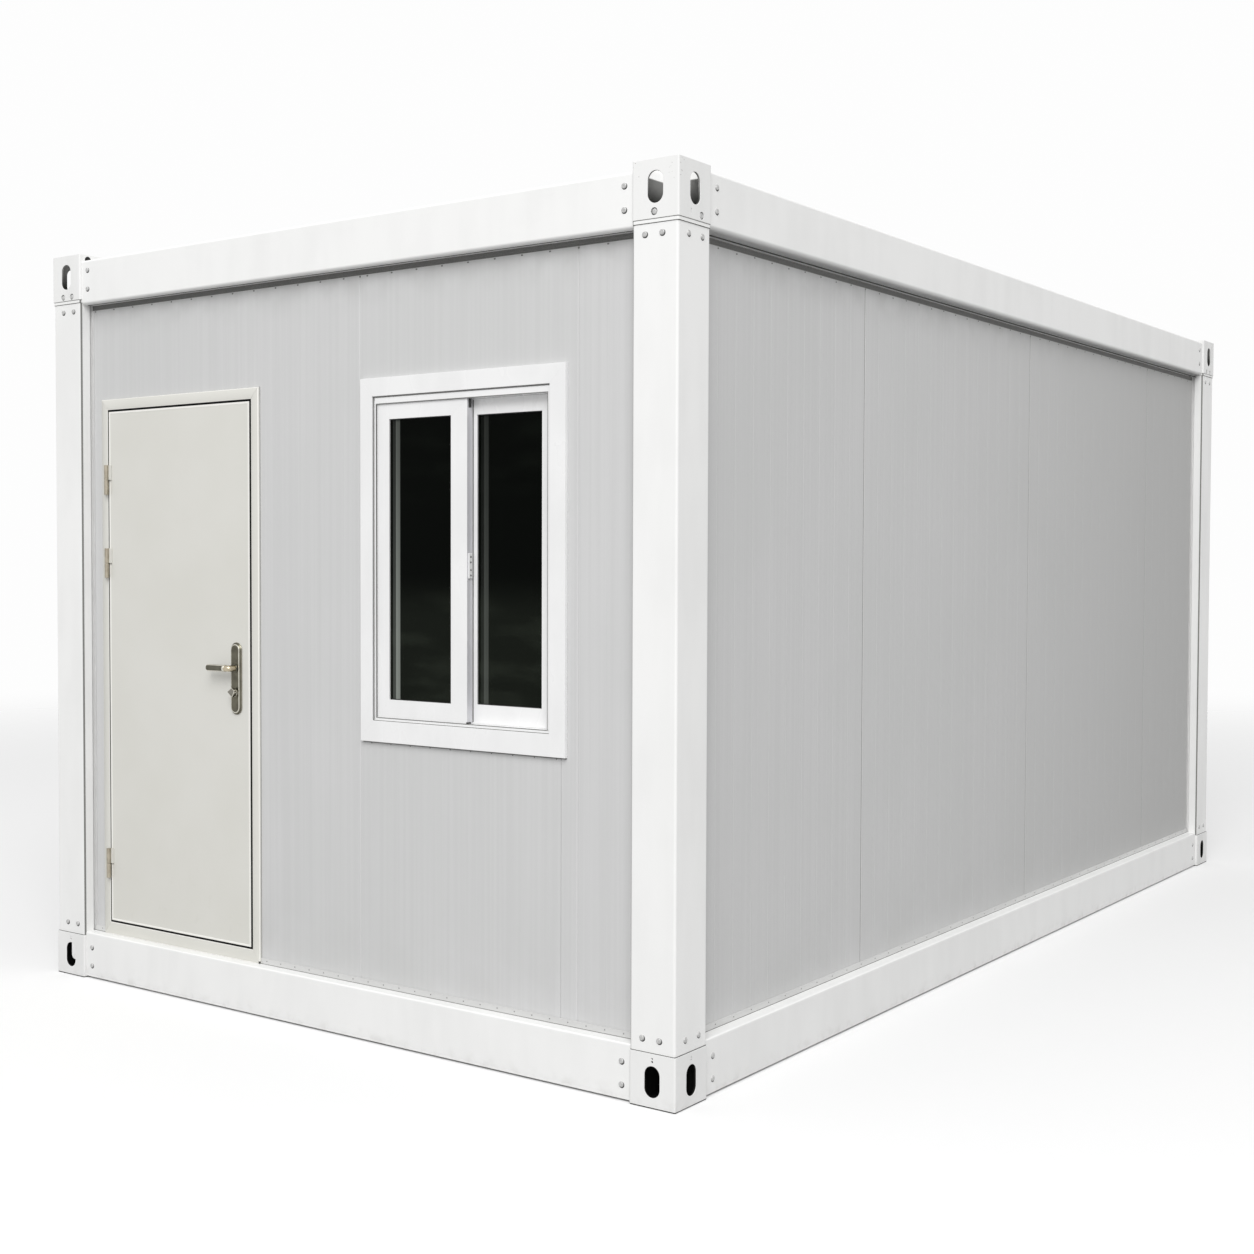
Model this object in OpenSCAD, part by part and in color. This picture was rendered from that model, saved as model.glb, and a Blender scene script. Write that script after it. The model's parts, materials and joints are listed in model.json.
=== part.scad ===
// Detachable container house: bolted steel frame with corner fittings, sandwich wall
// panels, one outward opening door and one two-sash sliding window.
// Millimetres, +Z up. Origin: centre of the footprint at ground level.
// The front wall (door and window) faces -Y.

/* [Overall size] */
// Width of the front, over the corner fittings
unit_width = 3000; // [2400:10:3600]
// Length, front to rear, over the corner fittings
unit_length = 5500; // [4500:10:6600]
// Height from the ground to the top of the corner fittings
unit_height = 2900; // [2400:10:3500]

/* [Corner fittings] */
// Size of a corner fitting across the front
fitting_x = 170; // [140:1:210]
// Size of a corner fitting along the side
fitting_y = 185; // [150:1:220]
// Height of a top corner fitting
fitting_top_h = 180; // [150:1:220]
// Height of a bottom corner fitting
fitting_bottom_h = 170; // [140:1:210]
// Plate thickness of the fittings
fitting_plate = 8; // [5:1:12]
// Width of the oblong lifting slots
slot_w = 56; // [40:1:70]
// Height of the oblong lifting slots
slot_h = 98; // [80:1:110]
// How far the slots sit above the middle of a top fitting
slot_rise = 5; // [0:1:20]
// How far the slots sit below the middle of a bottom fitting
slot_drop = 3; // [0:1:20]
// Width of the hole in a fitting's top or bottom plate
end_hole_w = 100; // [50:1:125]
// Length of the hole in a fitting's top or bottom plate
end_hole_l = 130; // [60:1:156]
// Radius of the fittings' upright edges
fitting_round = 6; // [2:1:7]

/* [Steel frame] */
// Sheet thickness of columns and beams
sheet = 4; // [3:1:6]
// How far the columns stand back from the fittings' faces
column_back = 4; // [2:1:12]
// Radius of the columns' edges
column_round = 8; // [5:1:12]
// Width of the groove in each column beside the wall
groove_w = 12; // [6:1:16]
// Depth of the groove in each column beside the wall
groove_d = 14; // [8:1:20]
// How far the beams stand back from the fittings' faces
beam_back = 10; // [4:1:16]
// Height of the top beams' outer face
top_beam_h = 174; // [130:1:200]
// Distance from the fittings' top down to the top beams' top
top_beam_down = 26; // [20:1:60]
// How much higher the side top beams sit than the end ones
side_beam_up = 13; // [0:1:18]
// Height of the bottom beams
bottom_beam_h = 170; // [140:1:200]
// Clearance under the bottom beams
ground_gap = 13; // [8:1:30]
// Thickness of the plate on top of each column
column_cap = 12; // [8:1:16]
// How far the cap plates stand back from the fittings' faces
cap_back = 2; // [0:0.5:3]
// Radius of the top beams' edges
top_beam_round = 10; // [6:1:14]
// Radius of the bottom beams' edges
bottom_beam_round = 6; // [4:1:10]
// Height of the open slot over the wall panels
head_gap = 20; // [10:1:30]
// Depth of the open slot over the wall panels
head_slot = 20; // [10:1:40]
// How far the beams reach inside the wall panels
beam_more = 5; // [2:1:20]

/* [Walls, floor and roof] */
// How far the wall panels stand back from the fittings' faces
wall_back = 60; // [55:1:75]
// Thickness of the wall panels
wall_thick = 75; // [60:1:100]
// Thickness of the floor board
deck_thick = 18; // [15:1:25]
// Thickness of the ceiling panel
ceiling_thick = 20; // [10:1:40]
// Height of the trim along the foot of each wall
foot_trim_h = 22; // [15:1:40]
// Thickness of the foot trim
foot_trim_t = 4; // [2:1:6]
// Width of the trim down the edges of each wall
edge_trim_w = 12; // [8:1:20]
// Thickness of the edge trim
edge_trim_t = 3; // [2:1:6]
// Height of the floor joists
joist_h = 150; // [100:1:160]
// Width of the floor joists' flanges
joist_w = 50; // [40:1:80]
// Sheet thickness of the floor joists
joist_t = 3; // [2:0.5:5]
// Target spacing of the floor joists
joist_pitch = 520; // [400:10:700]
// Thickness of the roof sheet
roof_t = 3; // [2:0.5:5]
// Distance from the top beams' top down to the roof sheet
roof_down = 40; // [35:1:60]
// Height of the ribs in the roof sheet
roof_rib_h = 24; // [15:1:30]
// Width of the ribs at their foot
roof_rib_w = 76; // [60:1:120]
// How far the ribs' sides lean in
roof_rib_lean = 18; // [10:1:25]
// Target spacing of the ribs in the roof sheet
roof_rib_pitch = 225; // [180:5:350]

/* [Door] */
// Distance from the left end of the front to the door frame
door_from_left = 238; // [200:1:320]
// Width over the door frame
door_w = 896; // [740:1:1080]
// Height of the wall panel over the door frame
over_door = 360; // [200:5:500]
// Visible width of the door frame's posts
door_face = 38; // [30:1:50]
// Visible height of the door frame's head
door_head = 42; // [30:1:60]
// Visible height of the door frame's threshold
door_sill = 49; // [40:1:70]
// How far the door frame stands out from the wall
door_proud = 10; // [6:1:16]
// Width of the stop the leaf closes against
door_stop = 12; // [8:1:20]
// How far the door frame covers the edges of the wall panels
door_lap = 20; // [10:1:28]
// Gap between leaf and frame
leaf_gap = 8; // [6:1:10]
// Thickness of the door leaf
leaf_thick = 45; // [35:0.5:55]
// How far the leaf stands out from the frame's face
leaf_proud = 2; // [0:0.5:4]
// Gap between the back of the leaf and the stop
stop_gap = 5; // [5:0.5:8]
// Radius of the hinge knuckles
knuckle_r = 9; // [7:0.5:9.5]
// Height of a hinge
hinge_h = 117; // [80:1:140]
// Radius of the hinge pins
hinge_pin_r = 4; // [3:0.5:5]
// Length of a hinge plate from the pin's middle
hinge_tab = 20; // [14:1:30]
// Thickness of the hinge plates on the leaf
hinge_t = 6; // [4:0.5:7]
// Gap between a hinge's knuckle and the leaf
hinge_off = 1; // [0.5:0.5:3]
// Distance from the leaf's top down to the top of the upper hinge
hinge_down_1 = 211; // [150:1:300]
// Distance from the leaf's top down to the top of the middle hinge
hinge_down_2 = 541; // [450:1:700]
// Distance from the leaf's foot up to the lower hinge
hinge_up = 172; // [150:1:300]
// Gap between the two halves of a hinge
hinge_play = 1; // [0.5:0.5:2]
// How far the hinge pins end below the hinge's top
pin_short = 8; // [5:1:15]

/* [Door hardware] */
// Height of the lever handle above the bottom beams' top
lever_height = 1097; // [900:1:1150]
// Distance from the leaf's free edge to the handle
backset = 70; // [55:1:90]
// Width of the lock plates
plate_w = 58; // [40:1:66]
// Height of the lock plates
plate_h = 270; // [230:1:290]
// Thickness of the lock plates
plate_t = 10; // [4:1:12]
// Distance from the lever down to the middle of the lock plates
plate_down = 39; // [20:1:60]
// Distance from the lever down to the thumb turn
turn_down = 92; // [70:1:112]
// Gap between a lock plate and the thumb turn's knob
knob_off = 6; // [5:0.5:10]
// Thickness of the thumb turn's knob
knob_t = 14; // [8:1:20]
// Length of the thumb turn's pointer
knob_l = 26; // [16:1:40]
// Radius of the thumb turn's round part
knob_r = 11; // [9:0.5:14]
// Radius of the handle's neck
neck_r = 9; // [7:0.5:10]
// Clearance round the necks inside the leaf
neck_room = 2; // [1:0.5:4]
// Radius of the spindles inside the leaf
spindle_r = 6; // [4:0.5:7]
// Length of the lever's grip from its spindle
grip_l = 112; // [90:1:125]
// Half the height of the lever's grip
grip_r = 11; // [8:0.5:12]
// Thickness of the lever's grip
grip_t = 12; // [8:1:16]
// Clearance between the lever's grip and the leaf
grip_clear = 34; // [30:1:34]
// Radial clearance of the hinge pins and handle spindles
pin_play = 0.06; // [0.02:0.01:0.1]

/* [Window] */
// Distance from the right end of the front to the window trim
window_from_right = 449; // [400:1:520]
// Width over the window trim
window_w = 899; // [700:1:1000]
// Height of the window trim's lower edge above the ground
window_sill = 1050; // [900:5:1200]
// Height of the wall panel over the window trim
over_window = 369; // [200:5:500]
// Width of the window trim at its sides and top
window_face = 64; // [50:1:80]
// Height of the window trim's lower member
window_foot = 74; // [50:1:90]
// How far the window trim covers the edges of the wall panel
window_lap = 25; // [15:1:40]
// How far the window trim stands out from the wall
window_proud = 15; // [8:1:20]
// How far the inside trim stands out from the wall
inside_proud = 12; // [6:1:20]
// Visible width of the window frame beside the sashes
frame_side = 8; // [4:1:20]
// Visible height of the window frame over the sashes
frame_head = 22; // [10:1:30]
// Visible height of the window frame under the sashes
frame_foot = 12; // [8:1:30]
// Width of the sashes' side and top members
sash_face = 54; // [40:1:65]
// Height of the sashes' lower members
sash_foot = 64; // [40:1:80]
// Extra width of the two meeting sash members
meet_extra = 18; // [0:1:30]
// How far the two sashes overlap
sash_lap = 56; // [30:1:70]
// How far the window frame's lip lies behind the trim's face
frame_sunk = 6; // [2:1:10]
// How far the outer sash stands out from the wall
sash_proud = 4; // [0:1:8]
// Gap between the two sashes
sash_gap = 4; // [2:0.5:8]
// Depth of the glass behind a sash's face
pane_in = 10; // [4:1:12]
// Thickness of the double glazing
pane_t = 8; // [4:1:12]
// Thickness of a sash
sash_thick = 28; // [23:0.5:34]
// Distance from the sash's foot up to the latch
latch_up = 487; // [100:1:500]
// Height of the latch
latch_h = 85; // [50:1:100]
// Width of the latch
latch_w = 18; // [10:1:22]
// Thickness of the latch
latch_t = 5; // [3:0.5:10]

/* [Hidden] */
// Number of sides drawn for round surfaces
$fn = 48;
hx = unit_width / 2;
hy = unit_length / 2;
col_x = hx - fitting_x;
col_y = hy - fitting_y;
wall_in = wall_back + wall_thick;
beam_in = wall_in + beam_more;
foot_z = ground_gap + bottom_beam_h;
deck_z = foot_z + deck_thick;
top_fit_z = unit_height - fitting_top_h;
tb_top = unit_height - top_beam_down;
tb_bot = tb_top - top_beam_h;
wall_top = tb_bot - head_gap;
cap_z = top_fit_z - column_cap;
// door
dx0 = -hx + door_from_left;
dx1 = dx0 + door_w;
dz0 = foot_z;
dz1 = wall_top - over_door;
leaf_x0 = dx0 + door_face + leaf_gap;
leaf_x1 = dx1 - door_face - leaf_gap;
leaf_z0 = dz0 + door_sill + leaf_gap;
leaf_z1 = dz1 - door_head - leaf_gap;
frame_d = wall_back - door_proud;
leaf_d = frame_d - leaf_proud;
leaf_back = leaf_d + leaf_thick;
leaf_mid = leaf_d + leaf_thick / 2;
lining = door_face - door_lap;
stop_d = leaf_back + stop_gap;
stop_in = leaf_gap + door_stop;
hinge_x = leaf_x0 - leaf_gap / 2;
hinge_d = leaf_d - knuckle_r - hinge_off;
hinge_half = hinge_h / 2;
hinge_low = hinge_half - hinge_play;
hinge_bore = hinge_h - pin_short + hinge_play - hinge_low;
hinge_z = [leaf_z1 - hinge_down_1 - hinge_h, leaf_z1 - hinge_down_2 - hinge_h,
    leaf_z0 + hinge_up];
lever_x = leaf_x1 - backset;
lever_z = foot_z + lever_height;
turn_z = lever_z - turn_down;
plate_z = lever_z - plate_down;
plate_out = leaf_d - plate_t;
plate_in = leaf_back + plate_t;
// window
wx1 = hx - window_from_right;
wx0 = wx1 - window_w;
wz0 = window_sill;
wz1 = wall_top - over_window;
win_d = wall_back - window_proud;
side_in = window_face + frame_side;
head_in = window_face + frame_head;
foot_in = window_foot + frame_foot;
sash_x0 = wx0 + side_in;
sash_x1 = wx1 - side_in;
sash_z0 = wz0 + foot_in;
sash_z1 = wz1 - head_in;
sash_w = (sash_x1 - sash_x0 + sash_lap) / 2;
meet = sash_face + meet_extra;
sash_d1 = wall_back - sash_proud;
sash_d2 = sash_d1 + sash_thick + sash_gap;
roof_z = tb_top - roof_down;

// ---- shared shapes ----

module box(x0, x1, y0, y1, z0, z1)
    translate([x0, y0, z0]) cube([x1 - x0, y1 - y0, z1 - z0]);

// box in front-wall terms: d0 and d1 are depths behind the fittings' front face
module fbox(x0, x1, d0, d1, z0, z1)
    box(x0, x1, -hy + d0, -hy + d1, z0, z1);

// a rectangular ring lying in the front wall
module fring(x0, x1, z0, z1, s0, s1, b, t, d0, d1) difference() {
    fbox(x0, x1, d0, d1, z0, z1);
    fbox(x0 + s0, x1 - s1, d0 - 1, d1 + 1, z0 + b, z1 - t);
}

// round bar through the front wall, from depth d0 to depth d1
module frod(x, z, r, d0, d1)
    translate([x, -hy + d0, z]) rotate([-90, 0, 0]) cylinder(r = r, h = d1 - d0);

// rectangle with round corners
module soft_square(x0, x1, y0, y1, r) {
    translate([x0 + r, y0]) square([x1 - x0 - 2 * r, y1 - y0]);
    translate([x0, y0 + r]) square([x1 - x0, y1 - y0 - 2 * r]);
    for (x = [x0 + r, x1 - r], y = [y0 + r, y1 - r]) translate([x, y]) circle(r = r);
}

// upright oblong hole for a plate facing along Y, drawn at the origin
module slot_y(w, h, depth) {
    for (s = [-1, 1]) translate([0, -depth / 2, s * (h - w) / 2])
        rotate([-90, 0, 0]) cylinder(r = w / 2, h = depth);
    translate([-w / 2, -depth / 2, -(h - w) / 2]) cube([w, depth, h - w]);
}

// put a piece drawn for the front right corner at another corner
module corner(right, front) {
    if (right && front) children();
    if (!right && front) mirror([1, 0, 0]) children();
    if (right && !front) mirror([0, 1, 0]) children();
    if (!right && !front) mirror([1, 0, 0]) mirror([0, 1, 0]) children();
}

// ---- corner fittings ----

// middle of a fitting, for the front right corner
fit_cx = hx - fitting_x / 2;
fit_cy = -hy + fitting_y / 2;

module fitting(z0, z1, slot_z, end_hole_z) difference() {
    translate([0, 0, z0]) linear_extrude(height = z1 - z0)
        soft_square(hx - fitting_x, hx, -hy, -hy + fitting_y, fitting_round);
    box(col_x + fitting_plate, hx - fitting_plate, -hy + fitting_plate,
        -col_y - fitting_plate, z0 + fitting_plate, z1 - fitting_plate);
    translate([fit_cx, -hy + fitting_plate / 2, slot_z])
        slot_y(slot_w, slot_h, fitting_plate + 4);
    translate([hx - fitting_plate / 2, fit_cy, slot_z])
        rotate([0, 0, 90]) slot_y(slot_w, slot_h, fitting_plate + 4);
    translate([fit_cx, fit_cy, end_hole_z])
        rotate([90, 0, 0]) slot_y(end_hole_w, end_hole_l, fitting_plate + 4);
}

module corner_fittings_top() color([0.94, 0.94, 0.94])
    for (r = [true, false], f = [true, false]) corner(r, f)
        fitting(top_fit_z, unit_height, top_fit_z + fitting_top_h / 2 + slot_rise,
            unit_height - fitting_plate / 2);

module corner_fittings_bottom() color([0.94, 0.94, 0.94])
    for (r = [true, false], f = [true, false]) corner(r, f)
        fitting(0, fitting_bottom_h, fitting_bottom_h / 2 - slot_drop, fitting_plate / 2);

// ---- columns ----

// column outline for the front right corner, with a groove beside each wall;
// grow draws the same outline that much smaller, for the hollow inside
module column_outline(grow) difference() {
    soft_square(col_x + grow, hx - column_back - grow,
        -hy + column_back + grow, -col_y - grow, column_round);
    translate([col_x - 1, -hy + wall_back - groove_w - grow])
        square([1 + groove_d + grow, groove_w + 2 * grow]);
    translate([hx - wall_back - grow, -col_y - groove_d - grow])
        square([groove_w + 2 * grow, groove_d + 1 + grow]);
}

module column() {
    translate([0, 0, fitting_bottom_h]) linear_extrude(height = cap_z - fitting_bottom_h)
        difference() {
            column_outline(0);
            column_outline(sheet);
        }
    translate([0, 0, cap_z]) linear_extrude(height = column_cap)
        soft_square(col_x, hx - cap_back, -hy + cap_back, -col_y, fitting_round);
}

module column_front_left() color([0.94, 0.94, 0.94]) corner(false, true) column();
module column_front_right() color([0.94, 0.94, 0.94]) corner(true, true) column();
module column_rear_left() color([0.94, 0.94, 0.94]) corner(false, false) column();
module column_rear_right() color([0.94, 0.94, 0.94]) corner(true, false) column();

// ---- beams ----

// outlines: X is the depth behind the fittings' face, Y is the height
module top_beam_outline(g, up) {
    difference() {
        soft_square(beam_back + g, beam_in - g, tb_bot + up + g, tb_top + up - g,
            top_beam_round);
        if (g == 0) translate([beam_in - top_beam_round, tb_bot + up - 1])
            square([top_beam_round + 1, top_beam_round + 1]);
    }
    if (g == 0) translate([wall_back + head_slot, wall_top])
        square([beam_in - wall_back - head_slot, head_gap + up + top_beam_round]);
}

module bottom_beam_outline(g)
    soft_square(beam_back + g, beam_in - g, ground_gap + g, foot_z - g, bottom_beam_round);

// stand an outline up as a beam along X at the front, from -len/2 to len/2
module along_x(len) translate([-len / 2, -hy, 0])
    rotate([90, 0, 90]) linear_extrude(height = len) children();

// the same along Y at the right side
module along_y(len) translate([hx, -len / 2, 0]) mirror([1, 0, 0])
    translate([0, len, 0]) rotate([90, 0, 0]) linear_extrude(height = len) children();

module top_section(up) difference() {
    top_beam_outline(0, up);
    top_beam_outline(sheet, up);
}

module bottom_section() difference() {
    bottom_beam_outline(0);
    bottom_beam_outline(sheet);
}

module top_beam_front() color([0.94, 0.94, 0.94]) along_x(2 * col_x) top_section(0);
module top_beam_rear() color([0.94, 0.94, 0.94])
    mirror([0, 1, 0]) along_x(2 * col_x) top_section(0);
module top_beam_right() color([0.94, 0.94, 0.94]) along_y(2 * col_y)
    top_section(side_beam_up);
module top_beam_left() color([0.94, 0.94, 0.94])
    mirror([1, 0, 0]) along_y(2 * col_y)
    top_section(side_beam_up);
module bottom_beam_front() color([0.94, 0.94, 0.94]) along_x(2 * col_x) bottom_section();
module bottom_beam_rear() color([0.94, 0.94, 0.94])
    mirror([0, 1, 0]) along_x(2 * col_x) bottom_section();
module bottom_beam_right() color([0.94, 0.94, 0.94]) along_y(2 * col_y) bottom_section();
module bottom_beam_left() color([0.94, 0.94, 0.94])
    mirror([1, 0, 0]) along_y(2 * col_y) bottom_section();

// ---- walls ----

module front_wall_left() color([0.82, 0.82, 0.82])
    fbox(-col_x, dx0 + door_lap, wall_back, wall_in, foot_z, wall_top);

module front_wall_over_door() color([0.82, 0.82, 0.82])
    fbox(dx0 + door_lap, dx1 - door_lap, wall_back, wall_in, dz1 - door_lap, wall_top);

module front_wall_window() color([0.82, 0.82, 0.82]) difference() {
    fbox(dx1 - door_lap, col_x, wall_back, wall_in, foot_z, wall_top);
    fbox(wx0 + window_lap, wx1 - window_lap, wall_back - 1, wall_in + 1,
        wz0 + window_lap, wz1 - window_lap);
}

module rear_wall() color([0.82, 0.82, 0.82])
    box(-col_x, col_x, hy - wall_in, hy - wall_back, foot_z, wall_top);

module right_wall() color([0.82, 0.82, 0.82])
    box(hx - wall_in, hx - wall_back, -col_y, col_y, foot_z, wall_top);

module left_wall() color([0.82, 0.82, 0.82])
    box(-hx + wall_back, -hx + wall_in, -col_y, col_y, foot_z, wall_top);

// trims along the foot of the walls, stopping beside the door frame
module wall_foot_trims() color([0.86, 0.86, 0.86]) {
    fbox(-col_x, dx0, wall_back - foot_trim_t, wall_back, foot_z, foot_z + foot_trim_h);
    fbox(dx1, col_x, wall_back - foot_trim_t, wall_back, foot_z, foot_z + foot_trim_h);
    box(-col_x, col_x, hy - wall_back, hy - wall_back + foot_trim_t,
        foot_z, foot_z + foot_trim_h);
    for (s = [0, 1]) mirror([s, 0, 0])
        box(hx - wall_back, hx - wall_back + foot_trim_t, -col_y, col_y,
            foot_z, foot_z + foot_trim_h);
}

module wall_edge_trims() color([0.86, 0.86, 0.86])
    for (r = [true, false], f = [true, false]) corner(r, f) {
        fbox(col_x - edge_trim_w, col_x, wall_back - edge_trim_t, wall_back,
            foot_z + foot_trim_h, wall_top);
        box(hx - wall_back, hx - wall_back + edge_trim_t, -col_y, -col_y + edge_trim_w,
            foot_z + foot_trim_h, wall_top);
    }

// ---- roof, ceiling and floor ----

// floor and ceiling boards fill the room and stop round the columns
module room_outline() {
    translate([-hx + wall_in, -col_y]) square([2 * (hx - wall_in), 2 * col_y]);
    translate([-col_x, -hy + wall_in]) square([2 * col_x, 2 * (hy - wall_in)]);
}

module floor_deck() color([0.45, 0.44, 0.42])
    translate([0, 0, foot_z]) linear_extrude(height = deck_thick) room_outline();

module ceiling_panel() color([0.92, 0.92, 0.92])
    translate([0, 0, wall_top - ceiling_thick])
        linear_extrude(height = ceiling_thick) room_outline();

joist_n = max(2, round(2 * (hy - beam_in) / joist_pitch) - 1);
joist_step = 2 * (hy - beam_in) / (joist_n + 1);

module floor_joists() color([0.62, 0.63, 0.64])
    for (i = [1:joist_n]) translate([0, -hy + beam_in + i * joist_step - joist_w / 2, 0]) {
        box(-hx + beam_in, hx - beam_in, 0, joist_t, foot_z - joist_h, foot_z);
        box(-hx + beam_in, hx - beam_in, 0, joist_w, foot_z - joist_t, foot_z);
        box(-hx + beam_in, hx - beam_in, 0, joist_w, foot_z - joist_h,
            foot_z - joist_h + joist_t);
    }

roof_w = 2 * (hx - beam_in);
rib_n = max(3, floor(roof_w / roof_rib_pitch));
rib_step = roof_w / rib_n;

// one trapezoid rib as a line of points, leaning in by less at its foot
function rib_points(x, foot, low) = [[x - foot, low],
    [x - foot + roof_rib_lean, low + roof_rib_h],
    [x + foot - roof_rib_lean, low + roof_rib_h], [x + foot, low]];

function rib_x(i) = (i + 0.5) * rib_step - roof_w / 2;

// the sheet from side to side, notched round the corner fittings
module roof_sheet() color([0.88, 0.88, 0.88]) difference() {
    translate([0, hy - beam_in, roof_z]) rotate([90, 0, 0])
        linear_extrude(height = 2 * (hy - beam_in)) polygon(concat(
            [[-roof_w / 2, roof_t]],
            [for (i = [0:rib_n - 1]) each rib_points(rib_x(i), roof_rib_w / 2, roof_t)],
            [[roof_w / 2, roof_t], [roof_w / 2, 0]],
            [for (i = [rib_n - 1:-1:0]) each [for (k = [3:-1:0])
                rib_points(rib_x(i), roof_rib_w / 2 - roof_t, 0)[k]]],
            [[-roof_w / 2, 0]]));
    for (r = [true, false], f = [true, false]) corner(r, f)
        box(col_x, hx, -hy, -col_y, roof_z - 1, tb_top + roof_rib_h);
}

// ---- door ----

module door_frame() color([0.86, 0.85, 0.82]) {
    // outside face
    fring(dx0, dx1, dz0, dz1, door_face, door_face, door_sill, door_head,
        frame_d, wall_back);
    // lining beside the leaf
    fring(dx0 + door_lap, dx1 - door_lap, dz0, dz1 - door_lap, lining, lining,
        door_sill, door_head - door_lap, wall_back, stop_d);
    // stops behind the leaf
    fring(dx0 + door_lap, dx1 - door_lap, dz0, dz1 - door_lap, lining + stop_in,
        lining + stop_in, door_sill + stop_in, door_head - door_lap + stop_in,
        stop_d, wall_in);
    // inside face, standing on the floor board
    difference() {
        fbox(dx0, dx1, wall_in, wall_in + door_proud, deck_z, dz1);
        fbox(dx0 + door_face + stop_in, dx1 - door_face - stop_in, wall_in - 1,
            wall_in + door_proud + 1, deck_z - 1, dz1 - door_head - stop_in);
    }
}

module door_leaf() color([0.86, 0.85, 0.82]) difference() {
    fbox(leaf_x0, leaf_x1, leaf_d, leaf_back, leaf_z0, leaf_z1);
    frod(lever_x, lever_z, neck_r + neck_room, leaf_d - 1, leaf_back + 1);
    frod(lever_x, turn_z, neck_r + neck_room, leaf_d - 1, leaf_back + 1);
}

// lower half with its pin, fixed to the frame
module hinge_frame_halves() color([0.72, 0.68, 0.6]) for (z = hinge_z) {
    translate([hinge_x, -hy + hinge_d, z]) cylinder(r = knuckle_r, h = hinge_low);
    translate([hinge_x, -hy + hinge_d, z]) cylinder(r = hinge_pin_r, h = hinge_h - pin_short);
    fbox(hinge_x - hinge_tab, hinge_x, leaf_d - hinge_t, frame_d, z, z + hinge_low);
}

// upper half, fixed to the leaf and dropped over the pin
module hinge_leaf_halves() color([0.72, 0.68, 0.6]) for (z = hinge_z) difference() {
    union() {
        translate([hinge_x, -hy + hinge_d, z + hinge_half])
            cylinder(r = knuckle_r, h = hinge_half);
        fbox(hinge_x, hinge_x + hinge_tab, leaf_d - hinge_t, leaf_d,
            z + hinge_half, z + hinge_h);
    }
    translate([hinge_x, -hy + hinge_d, z + hinge_low])
        cylinder(r = hinge_pin_r + pin_play, h = hinge_bore);
}

// long round-ended plate with holes for the two spindles
module lock_plate(d0, d1) difference() {
    union() {
        fbox(lever_x - plate_w / 2, lever_x + plate_w / 2, d0, d1,
            plate_z - plate_h / 2 + plate_w / 2, plate_z + plate_h / 2 - plate_w / 2);
        frod(lever_x, plate_z + plate_h / 2 - plate_w / 2, plate_w / 2, d0, d1);
        frod(lever_x, plate_z - plate_h / 2 + plate_w / 2, plate_w / 2, d0, d1);
    }
    frod(lever_x, lever_z, neck_r + pin_play, d0 - 1, d1 + 1);
    frod(lever_x, turn_z, neck_r + pin_play, d0 - 1, d1 + 1);
}

module lock_plate_outside() color([0.5, 0.48, 0.44])
    lock_plate(plate_out, leaf_d);

module lock_plate_inside() color([0.5, 0.48, 0.44])
    lock_plate(leaf_back, plate_in);

// flat round-ended grip pointing to the hinge side
module grip(d0, d1) {
    fbox(lever_x - grip_l, lever_x, d0, d1, lever_z - grip_r, lever_z + grip_r);
    frod(lever_x - grip_l, lever_z, grip_r, d0, d1);
    frod(lever_x, lever_z, grip_r, d0, d1);
}

module lever_outside() color([0.5, 0.48, 0.44]) {
    grip(leaf_d - grip_clear - grip_t, leaf_d - grip_clear);
    frod(lever_x, lever_z, neck_r, leaf_d - grip_clear, leaf_d);
    frod(lever_x, lever_z, spindle_r, leaf_d, leaf_mid);
}

module lever_inside() color([0.5, 0.48, 0.44]) {
    grip(leaf_back + grip_clear, leaf_back + grip_clear + grip_t);
    frod(lever_x, lever_z, neck_r, leaf_back, leaf_back + grip_clear);
    frod(lever_x, lever_z, spindle_r, leaf_mid, leaf_back);
}

// pointed turn knob
module knob(d0, d1) translate([lever_x, -hy + d1, turn_z]) rotate([90, 0, 0])
    linear_extrude(height = d1 - d0) {
        circle(r = knob_r);
        polygon([[-knob_l, 0], [0, knob_r], [0, -knob_r]]);
    }

module thumb_turn() color([0.5, 0.48, 0.44]) {
    knob(plate_out - knob_off - knob_t, plate_out - knob_off);
    frod(lever_x, turn_z, neck_r, plate_out - knob_off, leaf_d);
    frod(lever_x, turn_z, spindle_r, leaf_d, leaf_back);
    frod(lever_x, turn_z, neck_r, leaf_back, plate_in + knob_off);
    knob(plate_in + knob_off, plate_in + knob_off + knob_t);
}

// ---- window ----

module window_trim() color([0.94, 0.94, 0.94]) {
    fring(wx0, wx1, wz0, wz1, window_face, window_face, window_foot, window_face,
        win_d, wall_back);
    fring(wx0, wx1, wz0, wz1, window_face, window_face, window_foot, window_face,
        wall_in, wall_in + inside_proud);
}

module window_frame() color([0.92, 0.92, 0.92]) {
    fring(wx0 + window_lap, wx1 - window_lap, wz0 + window_lap, wz1 - window_lap,
        side_in - window_lap, side_in - window_lap, foot_in - window_lap,
        head_in - window_lap, wall_back, wall_in);
    fring(wx0 + window_face, wx1 - window_face, wz0 + window_foot, wz1 - window_face,
        frame_side, frame_side, frame_foot, frame_head, win_d + frame_sunk, wall_back);
}

module window_sash_left() color([0.93, 0.93, 0.93])
    fring(sash_x0, sash_x0 + sash_w, sash_z0, sash_z1, sash_face, meet,
        sash_foot, sash_face, sash_d1, sash_d1 + sash_thick);

module window_sash_right() color([0.93, 0.93, 0.93])
    fring(sash_x1 - sash_w, sash_x1, sash_z0, sash_z1, meet, sash_face,
        sash_foot, sash_face, sash_d2, sash_d2 + sash_thick);

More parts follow.
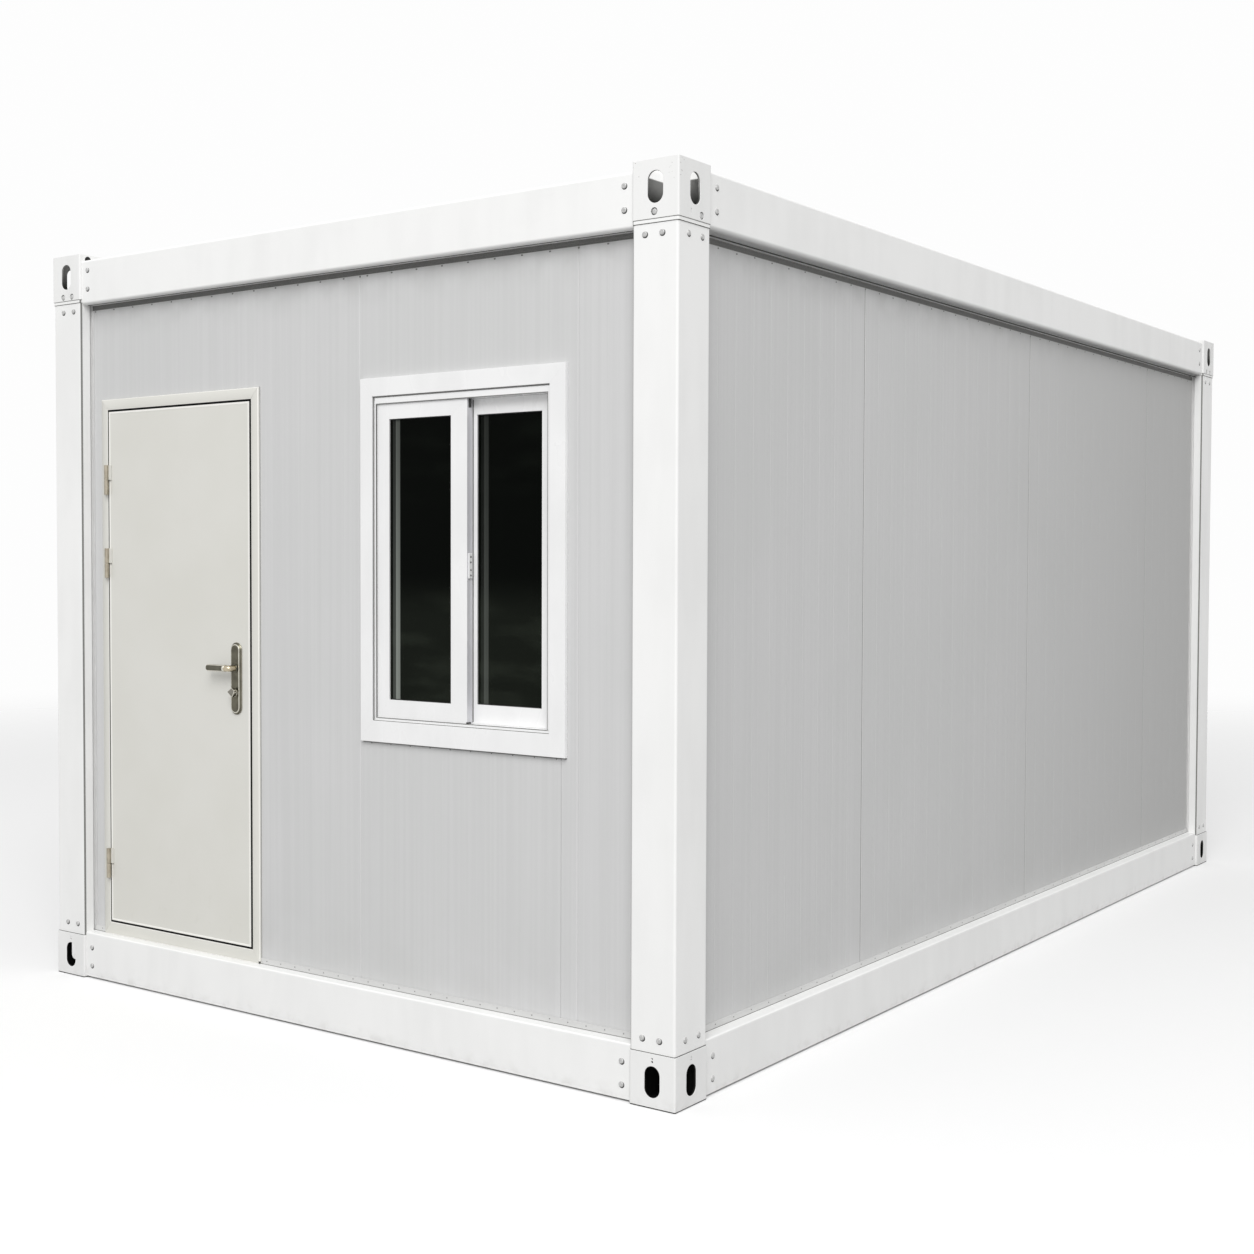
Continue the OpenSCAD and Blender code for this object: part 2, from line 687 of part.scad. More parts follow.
module window_panes() color([0.1, 0.11, 0.11, 0.8]) {
    fbox(sash_x0 + sash_face, sash_x0 + sash_w - meet, sash_d1 + pane_in,
        sash_d1 + pane_in + pane_t, sash_z0 + sash_foot, sash_z1 - sash_face);
    fbox(sash_x1 - sash_w + meet, sash_x1 - sash_face, sash_d2 + pane_in,
        sash_d2 + pane_in + pane_t, sash_z0 + sash_foot, sash_z1 - sash_face);
}

module window_latch() color([0.8, 0.8, 0.8])
    fbox(sash_x0 + sash_w, sash_x0 + sash_w + latch_t,
        sash_d1 + (sash_thick - latch_w) / 2, sash_d1 + (sash_thick + latch_w) / 2,
        sash_z0 + latch_up, sash_z0 + latch_up + latch_h);

// ---- drawing ----

corner_fittings_top();
corner_fittings_bottom();
column_front_left();
column_front_right();
column_rear_left();
column_rear_right();
top_beam_front();
top_beam_rear();
top_beam_left();
top_beam_right();
bottom_beam_front();
bottom_beam_rear();
bottom_beam_left();
bottom_beam_right();
front_wall_left();
front_wall_over_door();
front_wall_window();
rear_wall();
left_wall();
right_wall();
roof_sheet();
ceiling_panel();
floor_deck();
floor_joists();
wall_foot_trims();
wall_edge_trims();
door_frame();
door_leaf();
hinge_frame_halves();
hinge_leaf_halves();
lock_plate_outside();
lock_plate_inside();
lever_outside();
lever_inside();
thumb_turn();
window_trim();
window_frame();
window_sash_left();
window_sash_right();
window_panes();
window_latch();
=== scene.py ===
"""Detachable container house: the finish of its steel frame, ribbed wall panels, door and window."""
import json
import math
from contextlib import contextmanager

import bmesh
import bpy
from mathutils import Matrix, Vector


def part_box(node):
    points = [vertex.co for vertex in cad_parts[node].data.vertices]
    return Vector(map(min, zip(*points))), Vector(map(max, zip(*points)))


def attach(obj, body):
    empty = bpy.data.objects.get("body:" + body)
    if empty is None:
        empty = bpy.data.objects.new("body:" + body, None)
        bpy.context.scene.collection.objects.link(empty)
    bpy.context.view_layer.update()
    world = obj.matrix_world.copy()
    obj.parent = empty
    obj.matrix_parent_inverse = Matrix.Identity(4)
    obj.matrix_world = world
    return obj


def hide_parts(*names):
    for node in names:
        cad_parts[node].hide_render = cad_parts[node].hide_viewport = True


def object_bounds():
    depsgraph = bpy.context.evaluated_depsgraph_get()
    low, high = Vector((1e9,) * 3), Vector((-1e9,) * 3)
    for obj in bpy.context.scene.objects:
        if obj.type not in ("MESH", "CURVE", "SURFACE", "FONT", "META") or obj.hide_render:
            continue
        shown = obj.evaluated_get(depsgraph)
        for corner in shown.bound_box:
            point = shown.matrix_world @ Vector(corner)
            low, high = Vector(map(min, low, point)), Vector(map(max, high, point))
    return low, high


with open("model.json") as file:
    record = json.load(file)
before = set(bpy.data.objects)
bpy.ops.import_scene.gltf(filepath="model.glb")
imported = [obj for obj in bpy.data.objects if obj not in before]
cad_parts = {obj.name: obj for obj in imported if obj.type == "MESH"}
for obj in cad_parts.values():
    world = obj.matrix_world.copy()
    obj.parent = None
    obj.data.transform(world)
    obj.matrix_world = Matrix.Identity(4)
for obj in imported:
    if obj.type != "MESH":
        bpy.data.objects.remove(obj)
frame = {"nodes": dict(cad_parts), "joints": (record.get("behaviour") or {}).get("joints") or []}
cad_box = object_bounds()

MM = 0.001
FRONT, REAR = Vector((0, -1, 0)), Vector((0, 1, 0))
LEFT, RIGHT = Vector((-1, 0, 0)), Vector((1, 0, 0))
UP = Vector((0, 0, 1))

# ---- places taken from the frame ----

half_width = cad_box[1].x
half_length = cad_box[1].y
height = cad_box[1].z
column_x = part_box("column_front_right")[0].x
column_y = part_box("column_rear_right")[0].y
column_face_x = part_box("column_front_right")[1].x - 2 * MM
column_face_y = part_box("column_rear_right")[1].y - 2 * MM
beam_face_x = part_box("top_beam_right")[1].x
beam_face_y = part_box("top_beam_rear")[1].y
wall_face_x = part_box("right_wall")[1].x
wall_face_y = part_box("rear_wall")[1].y
wall_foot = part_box("right_wall")[0].z
wall_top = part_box("right_wall")[1].z
wall_thick = wall_face_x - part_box("right_wall")[0].x
leaf_low, leaf_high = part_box("door_leaf")
door_low, door_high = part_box("door_frame")
sash_low, sash_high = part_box("window_sash_left")
far_sash_low, far_sash_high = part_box("window_sash_right")
frame_low, frame_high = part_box("window_frame")
trim_low, trim_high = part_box("window_trim")
trim_high = trim_high + Vector((-6 * MM, 0, 5 * MM))  # the finished trim is a little narrower and taller
outer_plate_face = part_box("lock_plate_outside")[0].y
inner_plate_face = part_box("lock_plate_inside")[1].y
joint_at = {joint["name"]: Vector(joint["pos_m"]) for joint in frame["joints"]}
lever_at = joint_at["lever_spindle"]
turn_at = joint_at["thumb_turn_spindle"]
corners = [(x, y) for x in (-1, 1) for y in (-1, 1)]


# ---- modelling by hand ----

def alone(thing):
    """Select one object and nothing else."""
    bpy.ops.object.select_all(action="DESELECT")
    thing.select_set(True)
    bpy.context.view_layer.objects.active = thing


@contextmanager
def editing(thing, mode="FACE"):
    """Edit mode on one object, with nothing selected at the start."""
    alone(thing)
    bpy.ops.object.mode_set(mode="EDIT")
    bpy.ops.mesh.select_mode(type=mode)
    bpy.ops.mesh.select_all(action="DESELECT")
    yield
    bpy.ops.object.mode_set(mode="OBJECT")


def choose(kind, test):
    """In edit mode, select the verts, edges or faces that pass a test, and nothing else."""
    bpy.ops.mesh.select_all(action="DESELECT")
    data = bpy.context.edit_object.data
    mesh = bmesh.from_edit_mesh(data)
    for part in getattr(mesh, kind):
        if test(part):
            part.select_set(True)
    bmesh.update_edit_mesh(data)


def modify(thing, kind, **settings):
    """Add a modifier with these settings and apply it."""
    alone(thing)
    modifier = thing.modifiers.new(kind.title(), kind)
    for name, value in settings.items():
        setattr(modifier, name, value)
    bpy.ops.object.modifier_apply(modifier=modifier.name)


def added(name):
    """Name the primitive that was just added and put its place into its mesh."""
    thing = bpy.context.active_object
    thing.name = name
    alone(thing)
    bpy.ops.object.transform_apply(location=True, rotation=True, scale=True)
    return thing


def block(low, high, name="block"):
    """A box between two corners, as a start to be shaped."""
    low, high = Vector(low), Vector(high)
    bpy.ops.object.select_all(action="DESELECT")
    bpy.ops.mesh.primitive_cube_add(size=1, location=(low + high) / 2, scale=high - low)
    return added(name)


def rod(start, end, radius, sides=24, name="rod"):
    """A round bar between two points, as a start to be shaped."""
    start, end = Vector(start), Vector(end)
    turn = (end - start).to_track_quat("Z", "Y").to_euler()
    bpy.ops.object.select_all(action="DESELECT")
    bpy.ops.mesh.primitive_cylinder_add(
        vertices=sides, radius=radius, depth=(end - start).length, location=(start + end) / 2, rotation=turn)
    return added(name)


def pin(middle, out, reach, radius, sides=24):
    """A round bar that reaches equally far both ways from a point, to cut a hole with."""
    return rod(middle - out * reach, middle + out * reach, radius, sides, "pin")


def smooth(thing, angle=38):
    """Smooth shading up to an angle, with flat faces kept flat."""
    alone(thing)
    bpy.ops.object.shade_smooth_by_angle(angle=math.radians(angle))
    modify(thing, "WEIGHTED_NORMAL", keep_sharp=True, weight=100)
    return thing


def soften(thing, width=1.2 * MM, segments=2, angle=40):
    """Round over every edge sharper than an angle."""
    modify(thing, "BEVEL", width=width, segments=segments, limit_method="ANGLE",
           angle_limit=math.radians(angle), miter_outer="MITER_ARC", use_clamp_overlap=True)
    return smooth(thing)


def cut(thing, tools):
    """Cut the shapes of several tools out of a piece."""
    tool = join(tools)
    modify(thing, "BOOLEAN", operation="DIFFERENCE", solver="EXACT", object=tool)
    bpy.data.objects.remove(tool)
    return thing


def join(things, name=None):
    """Join several objects into the first one."""
    first = things[0]
    if len(things) > 1:
        alone(first)
        for thing in things[1:]:
            thing.select_set(True)
        bpy.ops.object.join()
    if name:
        first.name = name
    alone(first)
    bpy.ops.object.transform_apply(location=True, rotation=True, scale=True)
    return first


def copied(model, place):
    """A copy of a model with its own mesh, moved to a place given as a matrix."""
    thing = bpy.data.objects.new(model.name, model.data.copy())
    bpy.context.scene.collection.objects.link(thing)
    thing.matrix_world = place
    return thing


def repeated(model, places, name):
    """One joined mesh with a copy of the model at every place; the model itself goes."""
    thing = join([copied(model, place) for place in places], name)
    bpy.data.objects.remove(model)
    return thing


def at(point, out=UP):
    """The matrix that moves a model drawn at the origin to a point and turns its top outwards."""
    return Matrix.Translation(point) @ Vector(out).to_track_quat("Z", "Y").to_matrix().to_4x4()


def taken_from(node, name=None):
    """A clean copy of a node's mesh, with doubles merged and flat faces made whole."""
    thing = bpy.data.objects.new(name or "finished_" + node, frame["nodes"][node].data.copy())
    bpy.context.scene.collection.objects.link(thing)
    with editing(thing):
        bpy.ops.mesh.select_all(action="SELECT")
        bpy.ops.mesh.remove_doubles(threshold=0.01 * MM)
        bpy.ops.mesh.dissolve_limited(angle_limit=math.radians(1))
    return thing


def painted(thing, *paints):
    """Give a piece its material, and any further ones for some of its faces."""
    thing.data.materials.clear()
    for paint in paints:
        thing.data.materials.append(paint)
    return thing


def paint_faces(thing, paint, test):
    """Give the faces whose middle passes a test another material."""
    thing.data.materials.append(paint)
    for face in thing.data.polygons:
        if test(face.center):
            face.material_index = len(thing.data.materials) - 1
    return thing


def edged(thing, width, angle):
    """Round the edges over and give the narrow new faces the piece's second material, a paler one painted as
    a highlight along the edges.
    """
    modify(thing, "BEVEL", width=width, segments=2, limit_method="ANGLE",
           angle_limit=math.radians(angle), material=1)
    return smooth(thing)


def finished(thing, paint, body="building", stands_for=()):
    """Give a piece its material, unless it has its own, and its body, and hide the nodes that it stands for.
    """
    if paint:
        painted(thing, paint)
    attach(thing, body)
    if stands_for:
        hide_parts(*stands_for)
    return thing


# ---- materials ----

def tint(code, alpha=1.0):
    """A colour written as on a paint card, in the shader's own linear values."""
    parts = [int(code[i:i + 2], 16) / 255 for i in (1, 3, 5)]
    return tuple(p / 12.92 if p <= 0.04045 else ((p + 0.055) / 1.055) ** 2.4 for p in parts) + (alpha,)


class Wire:
    """A value inside a material; Python arithmetic on it adds Math nodes."""

    def __init__(self, paint, socket):
        self.paint = paint
        self.socket = socket

    def output(self, name):
        """Another output of the node that this value comes from."""
        return Wire(self.paint, self.socket.node.outputs[name])

    def maths(self, operation, *values):
        return self.paint.maths(operation, self, *values)

    def __add__(self, other):
        return self.maths("ADD", other)

    def __sub__(self, other):
        return self.maths("SUBTRACT", other)

    def __rsub__(self, other):
        return self.paint.maths("SUBTRACT", other, self)

    def __mul__(self, other):
        return self.maths("MULTIPLY", other)

    def __abs__(self):
        return self.maths("ABSOLUTE")

    def __lt__(self, other):
        return self.maths("LESS_THAN", other)

    __radd__ = __add__
    __rmul__ = __mul__


class Paint:
    """A node material or world under construction."""

    def __init__(self, owner):
        owner.use_nodes = True
        self.owner = owner
        self.tree = owner.node_tree
        self.tree.nodes.clear()

    def node(self, kind, settings=None, inputs=None, output=0):
        """Add a node, set its settings, then set or link its inputs."""
        node = self.tree.nodes.new("ShaderNode" + kind)
        for name, value in (settings or {}).items():
            setattr(node, name, value)
        for name, value in (inputs or {}).items():
            if isinstance(value, Wire):
                self.tree.links.new(value.socket, node.inputs[name])
            else:
                node.inputs[name].default_value = value
        return Wire(self, node.outputs[output]) if len(node.outputs) else None

    def maths(self, operation, *values):
        return self.node("Math", {"operation": operation}, dict(enumerate(values)))

    def ramp(self, value, low, high):
        """0 below low, 1 above high and a smooth step between them."""
        return self.node("MapRange", {"interpolation_type": "SMOOTHSTEP"}, {0: value, 1: low, 2: high})

    def mix(self, factor, first, second):
        """Two colours mixed by a factor."""
        return self.node("Mix", {"data_type": "RGBA"}, {0: factor, 6: first, 7: second}, output=2)


class Coat(Paint):
    """A surface finish on the piece's own coordinates."""

    def __init__(self, name):
        super().__init__(bpy.data.materials.new(name))
        self.place = self.node("TexCoord", output="Object")
        self.x = self.node("SeparateXYZ", inputs={0: self.place})
        self.y = self.x.output("Y")
        self.z = self.x.output("Z")

    def noise(self, scale, detail=2.0, stretch=(1, 1, 1)):
        """Soft clouds, drawn out along the axes with a small stretch."""
        place = self.node("Mapping", inputs={"Vector": self.place, "Scale": stretch})
        return self.node("TexNoise", inputs={"Vector": place, "Scale": scale, "Detail": detail})

    def cells(self, scale):
        """A pattern of crystals or specks."""
        return self.node("TexVoronoi", inputs={"Vector": self.place, "Scale": scale})

    def band(self, value, middle, half, soft):
        """1 within a distance of the middle, fading to 0 over the soft edge."""
        return 1 - self.ramp(abs(value - middle), half, half + soft)

    def surface(self, colour, roughness, height=None, depth=0.05 * MM, **fixed):
        """Finish the material; fixed holds the shader values that are the same all over."""
        inputs = {"Base Color": colour, "Roughness": roughness}
        inputs.update({name.replace("_", " "): value for name, value in fixed.items()})
        if height is not None:
            inputs["Normal"] = self.node("Bump", inputs={"Height": height, "Distance": depth})
        shader = self.node("BsdfPrincipled", inputs=inputs)
        self.node("OutputMaterial", inputs={"Surface": shader})
        return self.owner


def orange_peel(coat, scale=420):
    """The fine wavy height of sprayed paint."""
    return coat.noise(scale, 1.0)


def steel_paint(name, light, shade, chipped=False):
    """Sprayed white coat of the frame, faintly clouded, with a few chips on the fittings."""
    coat = Coat(name)
    cloud = coat.noise(1.7, 3.0)
    smear = coat.noise(11.0, 2.0, (1, 1, 0.25))
    colour = coat.mix(coat.ramp(cloud * 0.6 + smear * 0.4, 0.38, 0.66), tint(light), tint(shade))
    low_dust = (1 - coat.ramp(coat.z, 0, 60 * MM)) * coat.ramp(coat.noise(24.0, 3.0), 0.42, 0.75)
    colour = coat.mix(low_dust * 0.35, colour, tint("#C9C8C4"))
    roughness = coat.ramp(smear, 0.2, 0.8) * 0.12 + 0.34
    height = orange_peel(coat)
    if chipped:
        patch = coat.ramp(coat.noise(7.0, 1.0), 0.56, 0.62)
        near_top = coat.ramp(coat.z, height_of_chips, height_of_chips + 10 * MM)
        chip = coat.ramp(coat.noise(95.0, 1.0, (1, 1, 1.6)), 0.70, 0.72) * patch * near_top
        colour = coat.mix(chip * 0.8, colour, tint("#8F8E8B"))
        roughness = roughness + chip * 0.25
        height = height - chip * 6
    return coat.surface(colour, roughness, height, Specular_IOR_Level=0.14)


def fitting_inside():
    """Painted shade and light inside the corner fittings: near black in the lower ones, lighter towards the
    top in the upper ones, and a glow painted on the top of the upper ones as if daylight came in from above.
    """
    coat = Coat("fitting_inside")
    mill = coat.noise(45.0, 3.0)
    # painted shade: near black inside the lower fittings
    low = coat.mix(mill, tint("#141413"), tint("#222221"))
    # painted light: the upper fittings' insides grow lighter towards the top
    rise = coat.ramp(coat.z, height - 125 * MM, height - 50 * MM)
    high = coat.mix(rise, tint("#3A3A38"), tint("#A6A6A4"))
    colour = coat.mix(coat.ramp(coat.z, 1.0, 1.1), low, high)  # the fittings are all below or above this
    inner = (abs(coat.x) < column_x + 20 * MM).maths("MAXIMUM", abs(coat.y) < column_y + 20 * MM)
    # painted light: a glow on the top of the inner walls, as if daylight came in through the top holes
    daylit = coat.ramp(coat.z, height - 38 * MM, height - 33 * MM) * inner
    glow = coat.mix(daylit, (0, 0, 0, 1), tint("#F0F0EF"))
    return coat.surface(colour, mill * 0.2 + 0.5, mill, depth=0.1 * MM, Specular_IOR_Level=0.2,
                        Emission_Color=glow, Emission_Strength=0.9)


def wall_coat():
    """Light grey coated sheet with faint, fine upright streaks from the rolling mill, with painted shade
    under the top beams and towards the rear of the long walls.
    """
    coat = Coat("wall_coat")
    streak = coat.noise(70.0, 2.0, (1, 1, 0.008))
    cloud = coat.noise(1.3, 3.0)
    colour = coat.mix(coat.ramp(streak, 0.3, 0.7), tint("#CFCFCF"), tint("#D3D3D3"))
    colour = coat.mix(coat.ramp(cloud, 0.35, 0.7) * 0.4, colour, tint("#CACBCA"))
    # painted shade under the top beams, darker towards the wall's top in soft clouds
    under_beam = coat.ramp(coat.z, wall_top - 0.14, wall_top) * coat.ramp(coat.noise(9.0, 3.0), 0.3, 0.7)
    colour = coat.mix(under_beam * 0.35, colour, tint("#B2B2B1"))
    foot = (1 - coat.ramp(coat.z, wall_foot, wall_foot + 0.35)) * coat.ramp(coat.noise(5.0, 3.0), 0.35, 0.7)
    colour = coat.mix(foot * 0.2, colour, tint("#BBBBB9"))
    # painted shade: the long walls grow darker towards the rear
    long_wall = coat.ramp(abs(coat.x), wall_face_x - 4 * MM, wall_face_x - 3 * MM)
    painted_shade_to_rear = long_wall * (coat.ramp(coat.y, -1.5, 2.9) * 0.88 + 0.08)  # duller towards the rear
    colour = coat.mix(painted_shade_to_rear, colour, tint("#B9B9B8"))
    roughness = coat.ramp(streak, 0.2, 0.8) * 0.1 + 0.42
    return coat.surface(colour, roughness, orange_peel(coat, 300), depth=0.04 * MM, Specular_IOR_Level=0.06)


def trim_coat():
    """Pale folded trims along the foot and the edges of the walls."""
    coat = Coat("trim_coat")
    streak = coat.noise(18.0, 2.0, (0.2, 0.2, 1))
    colour = coat.mix(coat.ramp(streak, 0.3, 0.7), tint("#D2D2D1"), tint("#CACAC9"))
    return coat.surface(colour, streak * 0.12 + 0.36, orange_peel(coat), depth=0.03 * MM)


def door_paint():
    """Warm pale grey paint, a little rubbed low down; the leaf's folded border gets a paler coat of its own,
    a painted highlight.
    """
    coat = Coat("door_paint")
    cloud = coat.noise(2.2, 3.0)
    colour = coat.mix(coat.ramp(cloud, 0.3, 0.7), tint("#DCDBD5"), tint("#D8D7D0"))
    rub = coat.ramp(coat.noise(26.0, 4.0), 0.6, 0.78) * (1 - coat.ramp(coat.z, 0.25, 0.75))
    colour = coat.mix(rub * 0.2, colour, tint("#C6C4BC"))
    roughness = coat.ramp(cloud, 0.2, 0.8) * 0.1 + 0.36
    return coat.surface(colour, roughness, orange_peel(coat, 360), depth=0.04 * MM)


def door_edge_paint():
    """Painted highlight: a paler coat on the rounded edges of the leaf and the frame and on the leaf's
    folded border.
    """
    coat = Coat("door_edge_paint")
    cloud = coat.noise(9.0, 2.0)
    colour = coat.mix(cloud, tint("#F6F5F0"), tint("#EFEEE8"))
    return coat.surface(colour, cloud * 0.1 + 0.28, orange_peel(coat), depth=0.02 * MM)


def brushed(name, light, shade, grain, roughness, metallic=1.0):
    """Metal with fine brushed lines; grain says how much the lines are stretched along each axis."""
    coat = Coat(name)
    lines = coat.noise(900.0, 2.0, grain)
    stain = coat.noise(40.0, 3.0)
    colour = coat.mix(coat.ramp(stain, 0.3, 0.75), tint(light), tint(shade))
    return coat.surface(colour, lines * 0.14 + roughness, lines, depth=0.02 * MM, Metallic=metallic)


def zinc():
    """Zinc coated steel with its crystal pattern."""
    coat = Coat("joist_zinc")
    crystals = coat.cells(70.0).output("Color")
    shade = coat.node("SeparateColor", inputs={0: crystals})
    colour = coat.mix(shade, tint("#B9BCBE"), tint("#A2A6A9"))
    return coat.surface(colour, shade * 0.2 + 0.38, Metallic=0.7)


def bolt_metal():
    """Dull zinc of the bolt heads and screws."""
    coat = Coat("bolt_metal")
    wear = coat.noise(160.0, 3.0)
    colour = coat.mix(coat.ramp(wear, 0.35, 0.7), tint("#C9C9C8"), tint("#AFAFAE"))
    return coat.surface(colour, wear * 0.2 + 0.32, wear, depth=0.02 * MM, Metallic=0.15)


def dark_metal(name="dark_metal", light="#4A4A49", shade="#2C2C2C"):
    """Grey of rivets, slots and small screws, and of the strips, lines and discs painted as shade in the
    joints and gaps.
    """
    coat = Coat(name)
    wear = coat.noise(220.0, 2.0)
    return coat.surface(coat.mix(wear, tint(light), tint(shade)), wear * 0.2 + 0.5, Specular_IOR_Level=0.3)


def rubber():
    """Black rubber of the seals in the door gap and round the glass, also used as black painted shade at the
    bottom fittings' foot and for the plugs in the top fittings.
    """
    coat = Coat("rubber")
    dust = coat.noise(120.0, 3.0)
    return coat.surface(coat.mix(dust, tint("#151515"), tint("#262624")), dust * 0.2 + 0.6,
                        dust, depth=0.05 * MM, Specular_IOR_Level=0.3)


def window_white(name="window_white", light="#F2F2F2", shade="#EDEDED"):
    """Smooth white profile of the window, faintly uneven where it was extruded."""
    coat = Coat(name)
    cloud = coat.noise(6.0, 3.0, (1, 1, 0.5))
    colour = coat.mix(coat.ramp(cloud, 0.38, 0.66), tint(light), tint(shade))
    return coat.surface(colour, coat.ramp(cloud, 0.2, 0.8) * 0.1 + 0.24, orange_peel(coat, 500),
                        depth=0.01 * MM, Coat_Weight=0.2, Coat_Roughness=0.12)


def window_glass():
    """Dark glass with painted reflections: a soft vertical sheen beside each sash's left member and faint
    lighter bands low and high.
    """
    coat = Coat("window_glass")
    glass_streaks = coat.ramp(coat.noise(2.6, 4.0, (1, 1, 4.0)), 0.46, 0.68)
    # painted reflection: the glass is lighter low down and faintly lighter high up
    low = (1 - coat.ramp(coat.z, trim_low.z + 0.42, trim_low.z + 0.60)) * (glass_streaks * 0.5 + 0.5)
    high = coat.ramp(coat.z, trim_low.z + 0.78, trim_low.z + 0.95) * glass_streaks * 0.35
    colour = coat.mix(low, tint("#020402"), tint("#20241E"))
    colour = coat.mix(high, colour, tint("#10140F"))
    falling = 1 - coat.ramp(coat.z, trim_low.z + 0.15, trim_high.z)
    # painted reflection: a soft sheen beside each sash's left member, stronger low down
    for left, strength in zip(glass_left, (1.0, 0.28)):
        broad = coat.band(coat.x, left + 19 * MM, 8 * MM, 4 * MM) * 0.16
        line = coat.band(coat.x, left + 33 * MM, 7.5 * MM, 4 * MM) * 0.6
        sheen = (broad + line) * (falling * 0.85 + 0.4) * strength
        colour = coat.mix(sheen, colour, tint("#8F948E"))
    return coat.surface(colour, glass_streaks * 0.02 + 0.03, Specular_IOR_Level=0.03, Alpha=0.96)


def roof_coat():
    """Pale coated roof sheet with a little dust in the valleys."""
    coat = Coat("roof_coat")
    dust = coat.ramp(coat.noise(2.6, 5.0), 0.42, 0.72)
    colour = coat.mix(dust * 0.5, tint("#DBDCDC"), tint("#C9C8C3"))
    return coat.surface(colour, dust * 0.25 + 0.36, orange_peel(coat), depth=0.04 * MM)


def floor_coat():
    """Grey hard-wearing floor board, speckled."""
    coat = Coat("floor_coat")
    speck = coat.cells(260.0).output("Distance")
    cloud = coat.noise(3.0, 4.0)
    colour = coat.mix(coat.ramp(cloud, 0.3, 0.7), tint("#A6A39C"), tint("#99968F"))
    colour = coat.mix(coat.ramp(speck, 0.12, 0.2), tint("#77746D"), colour)
    return coat.surface(colour, cloud * 0.15 + 0.42, speck, depth=0.08 * MM)


def ceiling_coat():
    """White lining sheet of the ceiling."""
    coat = Coat("ceiling_coat")
    cloud = coat.noise(2.0, 3.0)
    colour = coat.mix(cloud, tint("#EFEFED"), tint("#E8E8E6"))
    return coat.surface(colour, cloud * 0.1 + 0.45, orange_peel(coat), depth=0.03 * MM)


# ---- sizes of the finish ----

rib_pitch = 114 * MM
rib_half = 2.6 * MM  # half of a rib's width, as seam_half is of a seam's
front_rib_rise = 0.2 * MM
side_rib_rise = 0.5 * MM
seam_half = 4 * MM
seam_floor = 2 * MM
seam_depth = 1.7 * MM
# where the panels of each wall meet, from the middle of the wall
front_seams = (1.086, 0.139)
side_seams = (-1.40, 0.197, 1.794)
rear_seams = (-1.086, -0.139, 0.808)
height_of_chips = height - 70 * MM  # the fittings' paint is chipped above this
# how wide the members of the window's sashes and trim look
meet_width = 72 * MM
sash_side = 54 * MM
sash_foot = 64 * MM
trim_side = 64 * MM
trim_left = 56 * MM
trim_foot = 74 * MM
glass_left = (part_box("window_panes")[0].x, far_sash_low.x + meet_width)
# heights of the bolts
top_bolts = (height - 66 * MM, height - 140 * MM)
bottom_bolts = (125 * MM, 51.5 * MM)
column_bolt_heights = (wall_top - 4 * MM, 213 * MM)
along_x, along_y = RIGHT, REAR


# ---- steel frame ----

def bolt_head(radius=9.2 * MM, proud=4 * MM, sunk=2 * MM, sides=18):
    """One domed bolt head, its top facing up and its foot sunk below the origin."""
    head = rod((0, 0, -sunk), (0, 0, proud), radius, sides, "bolt_head")
    with editing(head, "EDGE"):
        choose("edges", lambda edge: all(vert.co.z > proud - 0.01 * MM for vert in edge.verts))
        bpy.ops.mesh.bevel(offset=proud * 0.95, segments=4, profile=0.5, affect="EDGES")
    return smooth(head, 50)


def beam_bolts():
    """Two bolts at each end of every beam, a little higher in the side top beams than in the end ones."""
    places = []
    for x, y in corners:
        for z, rise in [(z, 9 * MM) for z in top_bolts] + [(z, 0) for z in bottom_bolts]:
            places.append(at((x * (column_x - 36 * MM), y * beam_face_y, z), (0, y, 0)))
            places.append(at((x * beam_face_x, y * (column_y - 48 * MM), z + rise), (x, 0, 0)))
    return places


def column_bolts():
    """Two bolts side by side at both ends of every column, on its two outer faces."""
    places = []
    for x, y in corners:
        for z in column_bolt_heights:
            for back in (62 * MM, 125 * MM):
                places.append(at((x * (half_width - back), y * column_face_y, z), (0, y, 0)))
            for back in (62 * MM, 139 * MM):
                places.append(at((x * column_face_x, y * (half_length - back), z), (x, 0, 0)))
    return places


def fitting_bolts():
    """Bolts under the lifting slots of the top fittings, as (place, outward direction)."""
    found = []
    for x, y in corners:
        lone = (x, y) == (1, -1)
        z = height - (159 if lone else 165) * MM
        for back in ((89 * MM,) if lone else (65 * MM, 119 * MM)):
            found.append((Vector((x * (half_width - back), y * half_length, z)), Vector((0, y, 0))))
        z -= 3.5 * MM
        for back in ((130 * MM,) if lone else (70 * MM, 130 * MM)):
            found.append((Vector((x * half_width, y * (half_length - back), z)), Vector((x, 0, 0))))
    return found


def top_fittings():
    """Top corner fittings with shallow seats for their bolts, one short tick and rounded slot edges."""
    thing = soften(taken_from("corner_fittings_top"), 1.4 * MM)
    seat = 4.2 * MM
    tools = [pin(point, out, seat, 12 * MM) for point, out in fitting_bolts()]
    tick = Vector((half_width, -half_length + 70 * MM, height - 157 * MM))
    half_tick = Vector((seat, 2.5 * MM, 8 * MM))
    tools.append(block(tick - half_tick, tick + half_tick))
    return smooth(cut(thing, tools))


def bottom_fittings():
    """Bottom corner fittings with two small holes over every slot and a thin band cut at the ground for a
    painted contact shadow.
    """
    thing = taken_from("corner_fittings_bottom")
    with editing(thing):
        bpy.ops.mesh.select_all(action="SELECT")
        bpy.ops.mesh.bisect(plane_co=UP * 3 * MM, plane_no=UP)
    soften(thing, 1.4 * MM)
    tools = []
    for x, y in corners:
        for z, radius in ((154 * MM, 3.6 * MM), (144.5 * MM, 4.2 * MM)):
            end_face = Vector((x * (half_width + column_x) / 2, y * half_length, z))
            side_face = Vector((x * half_width, y * (half_length + column_y) / 2, z))
            tools.append(pin(end_face, Vector((0, y, 0)), 5 * MM, radius, 14))
            tools.append(pin(side_face, Vector((x, 0, 0)), 5 * MM, radius, 14))
    return smooth(cut(thing, tools))


